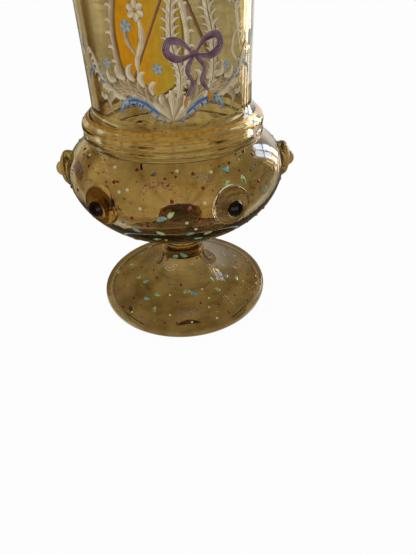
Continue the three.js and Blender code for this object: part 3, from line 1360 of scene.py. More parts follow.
BULB_MARKS = Marks(
    beads=(
        (Paint.RUBY, 0.85, (
            (137, 170), (114, 182), (193, 174), (203, 188), (89, 166), (85, 149), (132, 218), (148, 226),
            (172, 202), (202, 219), (211, 224), (252, 154), (78, 190), (258, 181), (163, 215), (226, 236),
        )),
        (Paint.WHITE, 0.75, (
            (115, 167), (177, 171), (211, 172), (127, 190), (140, 209), (187, 223), (205, 203), (196, 229),
            (119, 192), (90, 155),
        )),
        (Paint.BLUE, 0.75, ((154, 174), (253, 167), (123, 222), (236, 214))),
        (Paint.AMBER, 0.85, ((100, 160), (188, 190), (145, 210), (238, 160), (166, 240))),
        (Paint.PINK, 0.75, ((104, 172), (131, 203), (190, 208), (83, 160), (244, 192))),
    ),
    leaves=(
        (Paint.TURQUOISE, (
            (225, 169, 200), (137, 230, 150), (162, 220, 20), (191, 234, 20), (198, 238, 170), (266, 190, 80),
        )),
        (Paint.GREEN, (
            (244, 179, 100), (226, 183, 200), (171, 216, 50), (161, 233, 150), (157, 239, 190),
            (208, 233, 20),
        )),
    ),
    arcs=(
        (Paint.PINK, ((156, 186, 7.5, 92, 100, 2),)),
        (Paint.LILAC, ((77, 167, 4.5, 130, 120, 2), (203, 177, 2.6, 120, 60, 2))),
    ),
)
FOOT_MARKS = Marks(
    beads=(
        (Paint.RUBY, 0.8, (
            (157, 278), (154, 270), (133, 270), (142, 267), (124, 274), (181, 285), (178, 302), (201, 303),
            (219, 304), (235, 295), (229, 312), (248, 300), (134, 298), (165, 323), (177, 323), (123, 307),
            (197, 258), (236, 262), (248, 274), (256, 274), (227, 248), (128, 254),
        )),
        (Paint.AMBER, 0.8, ((176, 275), (128, 285), (154, 320), (217, 312), (247, 261))),
        (Paint.WHITE, 0.7, (
            (170, 295), (202, 289), (209, 298), (209, 307), (170, 315), (192, 322), (223, 265), (234, 256),
            (132, 312), (218, 258), (192, 264), (243, 281), (217, 318), (222, 279),
        )),
        (Paint.BLUE, 0.7, ((201, 273), (217, 268), (228, 301), (142, 317), (169, 285))),
        (Paint.PINK, 0.7, ((169, 307), (228, 292), (134, 305))),
    ),
    leaves=(
        (Paint.TURQUOISE, (
            (184, 255, 150), (147, 298, 190), (194, 293, 150), (226, 276, 145), (223, 254, 150),
            (141, 254, 175), (146, 281, 240), (175, 256, 200),
        )),
        (Paint.GREEN, (
            (157, 295, 20), (187, 292, 10), (139, 278, 50), (155, 309, 110), (212, 279, 70), (218, 289, 130),
            (237, 278, 10), (234, 267, 60), (132, 265, 80), (150, 247, 190), (118, 272, 30),
        )),
    ),
    arcs=(
        (Paint.WHITE, ((168, 267, 3.4, 190, 260, 2),)),
        (Paint.LILAC, ((188, 312, 7.0, 85, 275, 2),)),
        (Paint.PINK, ((115, 293, 4.5, 120, 200, 3), (207, 262, 2.6, 150, 60, 2))),
        (Paint.AMBER, ((249, 289, 5.0, 90, 330, 3),)),
    ),
    # Painted dark reflections on the foot's tread.
    smudges=((189, 324, 14.5, 3.0, 2), (130, 309, 5.2, 2.2, -28)),
)


BEAD_TALLIES = {Paint.RUBY: 8, Paint.WHITE: 5, Paint.AMBER: 2, Paint.BLUE: 2, Paint.PINK: 2}
BEAD_PAINTS = [paint for paint, tally in BEAD_TALLIES.items() for _ in range(tally)]
ARC_PAINTS = (Paint.PINK, Paint.LILAC, Paint.WHITE, Paint.AMBER)
LEAF_PAINTS = (Paint.TURQUOISE, Paint.GREEN)


@dataclass(frozen=True)
class Sprinkle:
    """How many marks the unseen sides of one canvas get, and where they may lie."""

    spots: Callable[[random.Random], tuple[float, float, float]]
    beads: int
    leaves: int
    arcs: int
    threads: int
    flecks: int


@dataclass
class EnamelledFace:
    """Beads, leaves, arcs and gold threads on one glass face."""

    name: str
    canvas: Canvas
    camera: PhotoCamera
    marks: Marks
    sprinkle: Sprinkle
    paints: list[bpy.types.Material]
    keep_out: list[Vector]
    seed: int
    prunt_room: float = 11.0
    bead_room: float = 3.6
    leaf_room: float = 4.6
    arc_room: float = 9.0
    leaf_width: float = 2.3
    shown_leaf_lengths: Span = (4.0, 4.9)
    leaf_lengths: Span = (3.8, 4.8)
    bead_radii: Span = (0.7, 0.9)
    arc_radii: Span = (3.4, 7.0)
    arc_spreads: Span = (85.0, 130.0)
    arc_turns: Span = (60.0, 120.0)
    thread_lengths: Span = (6.0, 16.0)
    thread_curls: Span = (14.0, 30.0)
    fleck_radii: Span = (0.18, 0.36)
    smudge_crown: float = 0.02
    grazing: float = 0.02
    tries: int = 60

    def free(self, spot: Spot, taken: list[Vector], room: float) -> bool:
        """Whether a spot lies clear of the marks and the prunts."""
        near_prunt = any((spot.place - centre).length < self.prunt_room * MM for centre in self.keep_out)
        return not near_prunt and all((spot.place - other).length > room * MM for other in taken)

    def seen(self, pixels: Sequence[Sequence[float]]) -> Iterator[tuple[Spot, Sequence[float]]]:
        """The spots that pixels of the photograph show on the face.

        Args:
            pixels: Rows that start with a pixel's place.

        Yields:
            Each spot with the rest of its row.
        """
        for px, py, *rest in pixels:
            spot = self.canvas.seen_at(self.camera, px, py)
            if spot:
                yield spot, rest

    def from_photo(self, hand: Enameller) -> list[Vector]:
        """Lays the marks that the photograph shows.

        Args:
            hand: Lays them.

        Returns:
            The places that are taken.
        """
        taken: list[Vector] = []
        for paint, size, pixels in self.marks.beads:
            for spot, _ in self.seen(pixels):
                hand.bead(spot, size, paint)
                taken.append(spot.place)
        for paint, pixels in self.marks.leaves:
            for spot, (turn,) in self.seen(pixels):
                hand.leaf(spot, hand.dice.uniform(*self.shown_leaf_lengths), self.leaf_width, turn, paint)
                taken.append(spot.place)
        for paint, pixels in self.marks.arcs:
            for spot, (size, spread, turn, rows) in self.seen(pixels):
                hand.dotted_arc(spot, size, spread, turn, paint, rows)
                taken.append(spot.place)
        # Painted dark reflections: flat dark patches laid on the foot's tread.
        for spot, (size, width, turn) in self.seen(self.marks.smudges):
            hand.leaf(spot, size, width, turn, Paint.FLECK, self.smudge_crown)
        return taken

    def hidden(self, spot: Spot) -> bool:
        """Whether the photograph doesn't show a spot's side of the glass."""
        sight = Vector(self.camera.place) * MM - spot.place
        return spot.out.dot(sight.normalized()) < self.grazing

    def sprinkled(self, hand: Enameller, taken: list[Vector]) -> None:
        """Sprinkles the sides that the photograph doesn't show in the same manner.

        Args:
            hand: Lays the marks.
            taken: The places of other marks; grows.
        """
        plan, dice = self.sprinkle, hand.dice

        def thrown() -> Spot:
            """A spot anywhere on the face."""
            return self.canvas.snap(around(*plan.spots(dice)))

        def unseen(count: int, room: float) -> Iterator[tuple[int, Spot]]:
            """Looks for free spots on the unseen sides.

            Args:
                count: How many are looked for.
                room: Their distance to other marks.

            Yields:
                The number and the place of each that is found.
            """
            for number in range(count):
                for _ in range(self.tries):
                    spot = thrown()
                    if self.hidden(spot) and self.free(spot, taken, room):
                        taken.append(spot.place)
                        yield number, spot
                        break

        def anywhere(count: int) -> Iterator[Spot]:
            """Throws spots and leaves out those that fall on a prunt.

            Args:
                count: How many are thrown.

            Yields:
                Each other spot.
            """
            for _ in range(count):
                spot = thrown()
                if self.free(spot, [], 0.0):
                    yield spot

        for number, spot in unseen(plan.arcs, self.arc_room):
            spans = (self.arc_radii, self.arc_spreads, self.arc_turns)
            radius, spread, turn = (dice.uniform(*span) for span in spans)
            hand.dotted_arc(spot, radius, spread, turn, ARC_PAINTS[number % len(ARC_PAINTS)])
        for number, spot in unseen(plan.leaves, self.leaf_room):
            turn, length = dice.uniform(0, 360), dice.uniform(*self.leaf_lengths)
            hand.leaf(spot, length, self.leaf_width, turn, LEAF_PAINTS[number % len(LEAF_PAINTS)])
        for _, spot in unseen(plan.beads, self.bead_room):
            hand.bead(spot, dice.uniform(*self.bead_radii), dice.choice(BEAD_PAINTS))
        for spot in anywhere(plan.threads):
            hand.thread(spot, dice.uniform(*self.thread_lengths), dice.uniform(*self.thread_curls))
        for spot in anywhere(plan.flecks):
            hand.bead(spot, dice.uniform(*self.fleck_radii), Paint.FLECK, 6)

    def build(self) -> Iterator[bpy.types.Object]:
        """Lays all marks of the face as one piece.

        Yields:
            The piece.
        """
        builder = MeshBuilder(self.name)
        hand = Enameller(self.canvas, builder, random.Random(self.seed))
        self.sprinkled(hand, self.from_photo(hand))
        yield builder.build(self.paints, "body_glass")


def brush_marks() -> bpy.types.NodeTree:
    """Makes the group for the marks that a brush leaves along a stroke.

    Returns:
        A group that puts out the outline, the drawn lines and the shaded side, each from 0 to 1.
    """
    inputs = {"Outline": 0.12, "Hatch": 0.5, "Hairs": 4.0}
    shader, given, result = new_group("brush_marks", inputs, ("Edge", "Lines", "Shade"))
    across = shader.node("SeparateXYZ", shader.node("UVMap", uv_map="Paint")).outputs["Y"]
    place = shader.place()
    side = shader.calc("ABSOLUTE", shader.calc("SUBTRACT", across, 0.5))
    start = shader.calc("MULTIPLY_ADD", given.outputs["Outline"], -0.5, 0.47)
    hairs = shader.calc("MULTIPLY", across, given.outputs["Hairs"])
    waver = shader.calc("ADD", hairs, shader.noise(place, 160.0))
    hair = shader.node("MapRange", shader.calc("PINGPONG", waver, 0.5), 0.34, 0.48)
    gaps = shader.ramp(shader.noise(place, 330.0), ((0.42, grey(0.0)), (0.58, LIT)))
    marks = {
        "Edge": shader.node("MapRange", side, start, 0.5),
        "Lines": shader.mix(given.outputs["Hatch"], grey(0.0), shader.product(hair, gaps)),
        "Shade": shader.node("MapRange", across, 0.3, 0.95),
    }
    for label, value in marks.items():
        shader.feed(result.inputs[label], value)
    return shader.tree


@dataclass(frozen=True)
class Brushwork(Finish):
    """Enamel laid on with a brush: a body colour that shades to one side, with drawn lines and an outline."""

    name: str
    body: Screen
    shade: Screen
    line: Screen
    outline: float
    hatch: float
    hairs: float
    roughness: float = 0.36
    mottle_scale: float = 420.0
    grain: float = 1500.0

    def surface(self, shader: Shader, place: bpy.types.NodeSocket) -> bpy.types.Node:
        """A mottled body colour with the marks of the brush.

        Args:
            shader: The material's tree.
            place: Places in the row frame.

        Returns:
            The last of its nodes.
        """
        marks = shader.node(
            "Group", node_tree=shared(brush_marks), Outline=self.outline, Hatch=self.hatch, Hairs=self.hairs
        )
        line = linear(self.line)
        cloud = shader.noise(place, self.mottle_scale, 3.0)
        mottle = shader.ramp(cloud, ((0.3, (0.84, 0.82, 0.8, 1.0)), (0.6, LIT)))
        tone = shader.mix(marks.outputs["Shade"], linear(self.body), linear(self.shade))
        tone = shader.mix(marks.outputs["Lines"], shader.product(tone, mottle), line)
        return shader.node(
            "BsdfPrincipled",
            Base_Color=shader.mix(marks.outputs["Edge"], tone, line),
            Roughness=self.roughness,
            IOR=1.5,
            Specular_IOR_Level=0.15,
            Coat_Weight=0.04,
            Normal=shader.relief(place, 0.3, self.grain),
        )


OUTLINE: Screen = (92, 62, 40)


class Pigment(Palette):
    """The painter's enamels on the cup."""

    CREAM = Brushwork("paint_cream", (218, 204, 172), (166, 144, 108), OUTLINE, 0.22, 0.6, 4.0)
    SHADED = Brushwork("paint_shaded_cream", (190, 172, 136), (122, 94, 66), OUTLINE, 0.18, 1.0, 7.0)
    BLUE = Brushwork("paint_blue", (80, 108, 152), (54, 76, 120), (156, 176, 190), 0.5, 0.2, 2.0)
    YELLOW = Brushwork("paint_yellow", (200, 138, 2), (176, 150, 40), (104, 58, 10), 0.03, 0.14, 11.0)
    BROWN = Brushwork("paint_brown", (138, 98, 66), (86, 52, 32), (66, 38, 24), 0.2, 0.2, 2.0)
    PURPLE = Brushwork("paint_purple", (116, 84, 100), (70, 44, 58), (178, 160, 162), 0.14, 0.95, 4.0)
    OCHRE = Brushwork("paint_ochre", (200, 142, 50), (154, 96, 28), (104, 58, 20), 0.2, 0.4, 3.0)
    PALE = Brushwork("paint_pale_blue", (158, 172, 176), (118, 138, 152), (88, 110, 136), 0.24, 0.3, 2.0)


CREAM, SHADED, BLUE, YELLOW, BROWN, PURPLE, OCHRE, PALE = Pigment
CREST_AXIS = 2.0


def mirrored(points: Sequence[Flat]) -> tuple[Flat, ...]:
    """The points' mirror images about the crest's own upright axis."""
    return tuple((2 * CREST_AXIS - x, y) for x, y in points)


@dataclass(frozen=True)
class Stroke:
    """One stroke of the brush on the cup, in millimetres round and up it.

    Lobes are the scallops along it, and left and right say how deep they cut into each side, from 0 to 1.
    A twin is laid again as a mirror image about the cup's front.
    """

    paint: Pigment
    widths: tuple[float, ...]
    path: tuple[Flat, ...]
    layer: int = 1
    lobes: float = 0.0
    left: float = 0.0
    right: float = 0.0
    twin: bool = False

    def pair(self) -> tuple[Stroke, Stroke]:
        """This stroke and its mirror image about the crest's axis."""
        return self, replace(self, path=mirrored(self.path), left=self.right, right=self.left)


@dataclass(frozen=True)
class Fronds:
    """A row of curled strokes that leave a spine on one side, like a leaf's lobes or a feather's barbs."""

    paint: Pigment
    spine: tuple[Flat, ...]
    count: int
    length: float
    width: float
    side: int
    lean: float
    curl: float
    layer: int
    twin: bool = False

    def pair(self) -> tuple[Fronds, Fronds]:
        """This row and its mirror image about the crest's axis."""
        return self, replace(self, spine=mirrored(self.spine), side=-self.side)

    def strokes(self) -> list[Stroke]:
        """The strokes, longest in the middle of the spine.

        Returns:
            One for each lobe or barb.
        """
        path = spline(self.spine, 0.5)
        made = []
        for share in ((k + 0.5) / self.count for k in range(self.count)):
            index = min(int(share * (len(path) - 1)), len(path) - 2)
            here, after = path[index], path[index + 1]
            heading = math.degrees(math.atan2(after[1] - here[1], after[0] - here[0]))
            size = self.length * (0.55 + 0.45 * math.sin(math.pi * share))
            points = [here]
            for step, turn in ((0.42, 0.0), (0.34, 0.55), (0.24, 1.0)):
                angle = heading + self.side * (self.lean + self.curl * turn)
                points.append(polar(points[-1], size * step, size * step, angle))
            wide = self.width * (0.7 + 0.3 * math.sin(math.pi * share))
            widths = (wide * 0.5, wide, wide * 0.8, 0.25)
            made.append(Stroke(self.paint, widths, tuple(points), self.layer, twin=self.twin))
        return made


def shell(
    petals: Sequence[tuple[float, Ellipse]], inner: Sequence[Ellipse], widths: tuple[float, ...], layer: int
) -> list[Stroke]:
    """Strokes that fan out like a shell's ribs, pale and shaded by turns.

    Args:
        petals: The angle in degrees of each, and the ellipse that it ends on.
        inner: The ellipses that all of them start on and pass.
        widths: The widths along each.
        layer: Their layer.

    Returns:
        The strokes.
    """
    made = []
    for k, (angle, tip) in enumerate(petals):
        path = tuple(polar(*ellipse, angle) for ellipse in (*inner, tip))
        made.append(Stroke(CREAM if k % 2 else SHADED, widths, path, layer))
    return made


def low_shell() -> list[Stroke]:
    """The shell between the scrolls, at the ornament's foot.

    Returns:
        Its strokes.
    """
    heart = (0.0, 110.2)
    reaches = {22: 9.0, 45: 10.0, 68: 10.6, 90: 11.2, 112: 10.6, 135: 10.0, 158: 9.0}
    petals = [(angle, (heart, reach, reach)) for angle, reach in reaches.items()]
    return shell(petals, ((heart, 0.4, 0.4), (heart, 5.0, 5.4)), (0.7, 2.6, 3.6, 2.2), 4)


def top_shell() -> list[Stroke]:
    """The shell in the middle of the crest.

    Returns:
        Its strokes.
    """
    heart = (CREST_AXIS, 197.0)
    petals = [(angle, (heart, 9.0, 11.5)) for angle in (30, 60, 90, 120, 150)]
    root = ((CREST_AXIS, heart[1] + 0.4), 0.4, 0.0)
    return shell(petals, (root, (heart, 4.6, 5.4)), (0.6, 2.4, 3.2, 1.8), 5)


LEFT_QUILL = ((2, 116), (3.5, 126), (1.0, 138), (2.5, 151), (8, 161), (13.5, 159))
RIGHT_QUILL = ((11, 115), (16, 124), (16.5, 137), (14, 150), (17.5, 163), (24, 167), (27, 161))
PLUME = (1.4, 3.6, 4.0, 3.8, 3.6, 2.4, 0.8)
QUILL = (0.2, 0.5, 0.4, 0.2)
STAFF = (0.9, 1.2, 1.1, 0.9)
FINIAL = (0.8, 3.4, 2.6, 0.4)
TAIL = (1.2, 2.0, 1.4, 1.9, 1.0)
FRINGE = (0.5, 1.5, 0.5)
COMB = ((-2.2, 109.4), (-6.2, 113.8), (-12.4, 117.6), (-18.8, 117), (-22, 112.6))
MEDALLION = (
    Stroke(YELLOW, (7, 19, 24, 25, 24, 20, 8), ((-7, 119.5), (-7, 139), (-7, 159)), 0),
    Stroke(
        SHADED, (1.6, 3.6, 2.6, 3.4, 1.4),
        ((-9, 117.5), (-18, 124), (-20.5, 139), (-17, 153), (-8, 160.5)), 2, 9, 0.45, 0.1,
    ),
    Stroke(
        CREAM, (1.6, 3.4, 2.6, 3.2, 1.4),
        ((-5, 117.5), (4.5, 124), (6.8, 139), (3, 153), (-6, 160.5)), 2, 9, 0.1, 0.45,
    ),
    Stroke(CREAM, (0.4, 3.0, 3.4, 0.5), ((-12, 124), (-11.5, 131), (-9, 138), (-10, 146)), 2, 5, 0.3, 0.3),
    Stroke(SHADED, (0.4, 2.2, 2.4, 0.4), ((-11, 132), (-14.5, 137), (-15.5, 143)), 2, 3, 0.35, 0.2),
    Stroke(BROWN, (0.5, 0.7, 0.4), ((-7, 121), (-9, 133), (-5, 150)), 2),
)
STAFFS_AND_PLUMES = (
    Stroke(BROWN, STAFF, ((-17, 119), (-8, 136), (12, 176)), 3),
    Stroke(BROWN, STAFF, ((22, 118), (12, 138), (-6, 175)), 3),
    Stroke(OCHRE, FINIAL, ((11.5, 174), (13.5, 178), (15.5, 184)), 4, 3, 0.3, 0.3),
    Stroke(OCHRE, FINIAL, ((-5.5, 173), (-7.5, 177), (-9.5, 183)), 4, 3, 0.3, 0.3),
    Stroke(CREAM, PLUME, LEFT_QUILL, 4, 12, 0.1, 0.1),
    Stroke(CREAM, PLUME, RIGHT_QUILL, 4, 12, 0.1, 0.1),
    Stroke(BROWN, QUILL, LEFT_QUILL, 8),
    Stroke(BROWN, QUILL, RIGHT_QUILL, 8),
)
RIBBON = (
    Stroke(
        PURPLE, (0.8, 2.6, 2.9, 1.2),
        ((8.5, 133), (4.5, 136.4), (0.2, 136.9), (-0.9, 133.6), (2.8, 131.4), (8, 132.4)), 9,
    ),
    Stroke(
        PURPLE, (0.8, 2.5, 3.1, 1.2),
        ((9.5, 133), (13.2, 137.2), (18.2, 138.2), (19.6, 134.6), (15.4, 131.9), (10, 132.4)), 9,
    ),
    Stroke(PURPLE, TAIL, ((8.6, 132), (6.2, 127.6), (8.0, 123.4), (5.8, 119)), 9),
    Stroke(PURPLE, TAIL, ((9.6, 132), (12.9, 128.4), (11.6, 124.2), (14.2, 120.4)), 9),
    Stroke(PURPLE, (1.9, 2.7, 1.9), ((7.5, 132.6), (9, 133), (10.5, 132.6)), 10),
    Stroke(OCHRE, FRINGE, ((5.8, 119), (5.2, 117), (4.6, 114.8)), 9),
    Stroke(OCHRE, FRINGE, ((14.2, 120.4), (15.2, 118.4), (16.4, 116.4)), 9),
    Stroke(OCHRE, (0.4, 1.2, 0.4), ((14.4, 120.4), (14.4, 118.4), (14.8, 116)), 9),
)
SCROLLS = (
    Stroke(
        SHADED, (1.6, 6.4, 8.6, 7.2, 4.2, 0.8),
        ((-1.6, 110.6), (-6.4, 117), (-13.6, 121.8), (-21.6, 121.4), (-27, 116.8), (-25.6, 112)),
        2, 7, 0.1, 0.3, True,
    ),
    Stroke(PALE, (0.6, 2.4, 2.9, 2.7, 2.0, 0.5), COMB, 4, 6, 0.1, 0.3, True),
    Stroke(BLUE, (0.5, 1.7, 2.1, 1.9, 1.3, 0.4), COMB, 5, 6, 0.1, 0.6, True),
    Stroke(
        CREAM, (1.2, 3.6, 3.2, 2.4, 1.8, 0.6),
        ((-17, 117.5), (-24.5, 120.5), (-30, 125), (-32, 130), (-35.5, 134), (-38.5, 131.5)),
        3, 9, 0.4, 0.12, True,
    ),
    Stroke(PALE, (0.3, 1.6, 1.2, 0.3), ((-30.6, 126), (-34, 127.4), (-36, 131)), 3, twin=True),
    Stroke(
        CREAM, (0.3, 1.5, 1.4, 1.0, 0.3),
        ((29.6, 128), (26, 132.4), (27.6, 138.2), (31.4, 137.2), (30.4, 134.6)), 3,
    ),
    Stroke(BLUE, (0.3, 1.9, 1.6, 0.3), ((-38.2, 132), (-40, 135), (-38.6, 138.6)), 5, 2, 0.35, 0.35, True),
    Stroke(BLUE, (0.3, 1.8, 1.4, 0.3), ((-34, 127), (-37, 126), (-39, 122.6)), 5, 2, 0.35, 0.35, True),
    Stroke(BLUE, (0.3, 1.5, 1.3, 0.3), ((-26.6, 122.6), (-29.8, 123.8), (-31.6, 127)), 5, 2, 0.3, 0.3, True),
    Stroke(
        CREAM, (0.4, 2.0, 1.8, 1.4, 0.4),
        ((31, 132), (27.6, 148), (31.6, 158), (29, 168), (24, 171.4)), 2, 8, 0.1, 0.35,
    ),
    Stroke(BLUE, (0.3, 1.7, 1.4, 0.3), ((28.6, 146.4), (25.4, 150), (26.4, 154)), 4, 2, 0.3, 0.3),
    Stroke(BLUE, (0.3, 1.7, 1.4, 0.3), ((31, 160), (35, 161.6), (36.4, 165.4)), 4, 2, 0.3, 0.3),
)
CREST = (
    *Stroke(
        SHADED, (0.8, 4.6, 4.2, 2.8, 1.6, 0.5),
        ((2, 197), (-8, 203), (-18, 200), (-23, 191), (-19, 185.5), (-15.5, 189)), 2, 8, 0.12, 0.42,
    ).pair(),
    *Stroke(
        BLUE, (0.4, 1.7, 1.9, 1.4, 0.4),
        ((0, 196), (-8.6, 199.4), (-15.6, 197.4), (-19.4, 191.6)), 4, 6, 0.6, 0.1,
    ).pair(),
    Stroke(OCHRE, (0.4, 2.2, 1.4, 0.3), ((2, 195), (2, 190), (2, 184)), 5, 2, 0.3, 0.3),
)
FRONDS = (
    Fronds(
        CREAM, ((-3, 115.4), (-8, 121), (-15, 125), (-23, 123.8), (-28.6, 117.4)),
        8, 7.2, 3.4, -1, 26.0, 100.0, 3, True,
    ),
    Fronds(
        SHADED, ((-3, 113.4), (-8, 118.8), (-15, 122.2), (-22, 121.2), (-26.4, 116.4)),
        9, 4.6, 2.2, -1, 22.0, 60.0, 4, True,
    ),
    Fronds(
        BROWN, ((-2.4, 112), (-7.4, 117.4), (-14.4, 120.8), (-21.4, 119.8)),
        10, 3.4, 0.42, -1, 20.0, 46.0, 6, True,
    ),
    Fronds(BLUE, COMB, 8, 3.0, 1.4, 1, 60.0, 70.0, 6, True),
    Fronds(
        CREAM, ((-19, 118.6), (-25.4, 121.4), (-30, 125.6), (-32, 130), (-35, 133.6)),
        9, 4.4, 1.8, 1, 34.0, 95.0, 4, True,
    ),
    Fronds(PALE, ((-22, 119.6), (-28.4, 123.6), (-31, 129)), 4, 3.6, 1.3, -1, 30.0, 90.0, 5, True),
    Fronds(CREAM, ((31, 134), (27.6, 148), (31.4, 158), (29.4, 167)), 8, 4.0, 1.5, -1, 34.0, 95.0, 4),
    Fronds(CREAM, ((28.4, 143), (28, 149), (31, 158), (30, 165)), 6, 3.4, 1.3, 1, 34.0, 95.0, 4),
    Fronds(
        CREAM, ((-9, 118), (-18, 124), (-20.5, 139), (-17, 153), (-9, 160)),
        13, 3.6, 1.6, 1, 38.0, 90.0, 4,
    ),
    Fronds(CREAM, ((-5, 118), (4.5, 124), (6.8, 139), (3, 153), (-5, 160)), 13, 3.2, 1.5, -1, 38.0, 90.0, 3),
    *Fronds(CREAM, ((-2, 199.6), (-9, 204), (-18, 201), (-23, 192)), 8, 4.2, 1.9, -1, 30.0, 100.0, 4).pair(),
    *Fronds(SHADED, ((2, 193), (2, 188), (2, 184)), 3, 3.6, 1.3, 1, 34.0, 60.0, 6).pair(),
    *Fronds(
        SHADED, ((-24, 171), (-18, 174.6), (-10, 170.4), (-2, 169.6), (2, 168.6)),
        12, 2.8, 1.3, 1, 34.0, 60.0, 3,
    ).pair(),
    *(
        Fronds(CREAM, quill, count, 5.2, 1.35, side, 24.0, 50.0, 6)
        for quill, count in ((LEFT_QUILL, 22), (RIGHT_QUILL, 26))
        for side in (1, -1)
    ),
)


@dataclass(frozen=True)
class Blossom:
    """A small flower: its middle, radius and paint."""

    place: Flat
    radius: float
    paint: Pigment
    petals: int = 5


BLOSSOMS = (
    Blossom((-10.5, 146), 3.2, CREAM, 6),
    Blossom((-14.5, 141.5), 2.1, PALE),
    Blossom((-4.5, 128.5), 1.9, PALE),
    Blossom((24.6, 149), 2.2, CREAM),
    Blossom((22.6, 128), 1.8, PALE),
    Blossom((-25, 129.5), 1.8, PALE),
    Blossom((-21.5, 176), 3.0, CREAM, 6),
    Blossom((-13, 171.5), 2.2, PALE),
    Blossom((2, 169), 3.4, CREAM, 6),
    Blossom((17, 171.5), 2.2, PALE),
    Blossom((25.5, 176), 3.0, CREAM, 6),
    Blossom((2, 180), 2.2, PALE),
)


@dataclass
class PaintedCup:
    """Brush-painted ornament on the cup: a yellow medallion, plumes, a ribbon, scrolls and a crest."""

    step: float = 0.7
    lift: float = 0.02
    layer_lift: float = 0.035
    relief: float = 0.16
    margins: Span = (0.2, 5.0)
    petal_width: float = 0.85
    eye_width: float = 0.45
    eye_reach: float = 0.2

    @staticmethod
    def width_at(widths: Sequence[float], share: float) -> float:
        """The stroke's width, eased between the given widths.

        Args:
            widths: The widths at even steps.
            share: Share of the stroke's length.

        Returns:
            The width.
        """
        spot = share * (len(widths) - 1)
        index = min(int(spot), len(widths) - 2)
        ease = (1 - math.cos(math.pi * (spot - index))) / 2
        return widths[index] + (widths[index + 1] - widths[index]) * ease

    def on_cup(self, across: float, height: float, lift: float) -> Vector:
        """A point on the cup's outside.

        Args:
            across: Millimetres round the cup from its front.
            height: Height over the ground.
            lift: Height over the glass.

        Returns:
            The point in metres.
        """
        low, high = self.margins
        height = min(max(height, FORM.skirt_top + low), FORM.rim - high)
        radius = FORM.cup_side(height)
        return around(math.degrees(across / radius), radius + lift, height)

    def stroke(self, builder: MeshBuilder, mark: Stroke, flip: bool = False) -> None:
        """Lays one stroke, or its mirror image.

        Args:
            builder: Takes the faces.
            mark: The stroke.
            flip: Whether it is mirrored about the cup's front.
        """
        path = spline(mark.path, self.step)
        count = len(path) - 1
        across = max(5, 2 * round(max(mark.widths) / 1.6) + 1)
        rows = []
        for i, (x, y) in enumerate(path):
            share = i / count
            after, before = path[min(i + 1, count)], path[max(i - 1, 0)]
            run = math.dist(after, before) or 1.0
            side = ((before[1] - after[1]) / run, (after[0] - before[0]) / run)
            half = self.width_at(mark.widths, share) / 2
            notch = 1 - abs(math.sin(math.pi * mark.lobes * share)) ** 0.6 if mark.lobes else 0.0
            left, right = half * (1 - mark.left * notch), half * (1 - mark.right * notch)
            row = []
            for v in (j / (across - 1) for j in range(across)):
                offset = left - (left + right) * v
                crown = math.sqrt(max(0.0, 1 - (2 * v - 1) ** 2))
                rise = self.lift + self.layer_lift * mark.layer + self.relief * crown * min(1.0, half)
                sx, sy = x + side[0] * offset, y + side[1] * offset
                row.append((self.on_cup(-sx if flip else sx, sy, rise), (share, v)))
            rows.append(row if flip else row[::-1])
        builder.sheet(rows, mark.paint.slot)

    def blossom(self, builder: MeshBuilder, flower: Blossom) -> None:
        """Lays a flower: its petals and its ochre eye.

        Args:
            builder: Takes the faces.
            flower: The flower.
        """
        size = flower.radius
        for k in range(flower.petals):
            angle = 90 + 360 * k / flower.petals
            path = tuple(polar(flower.place, size * far, size * far, angle) for far in (0.15, 0.6, 1.0))
            wide = size * self.petal_width
            widths = (0.3, wide, wide * 0.95, 0.5)
            self.stroke(builder, Stroke(flower.paint, widths, path, 6 + k % 2))
        x, y = flower.place
        reach = size * self.eye_reach
        eye = ((x - reach, y), (x, y), (x + reach, y))
        self.stroke(builder, Stroke(OCHRE, (0.2, size * self.eye_width, 0.2), eye, 9))

    def build(self) -> Iterator[bpy.types.Object]:
        """Paints the cup.

        Yields:
            The painting.
        """
        builder = MeshBuilder("cup_painting")
        marks = [*MEDALLION, *STAFFS_AND_PLUMES, *RIBBON, *low_shell(), *SCROLLS, *CREST, *top_shell()]
        for row in FRONDS:
            marks += row.strokes()
        for mark in marks:
            self.stroke(builder, mark)
            if mark.twin:
                self.stroke(builder, mark, flip=True)
        for flower in BLOSSOMS:
            self.blossom(builder, flower)
        yield builder.build(Pigment.materials(), "body_glass")


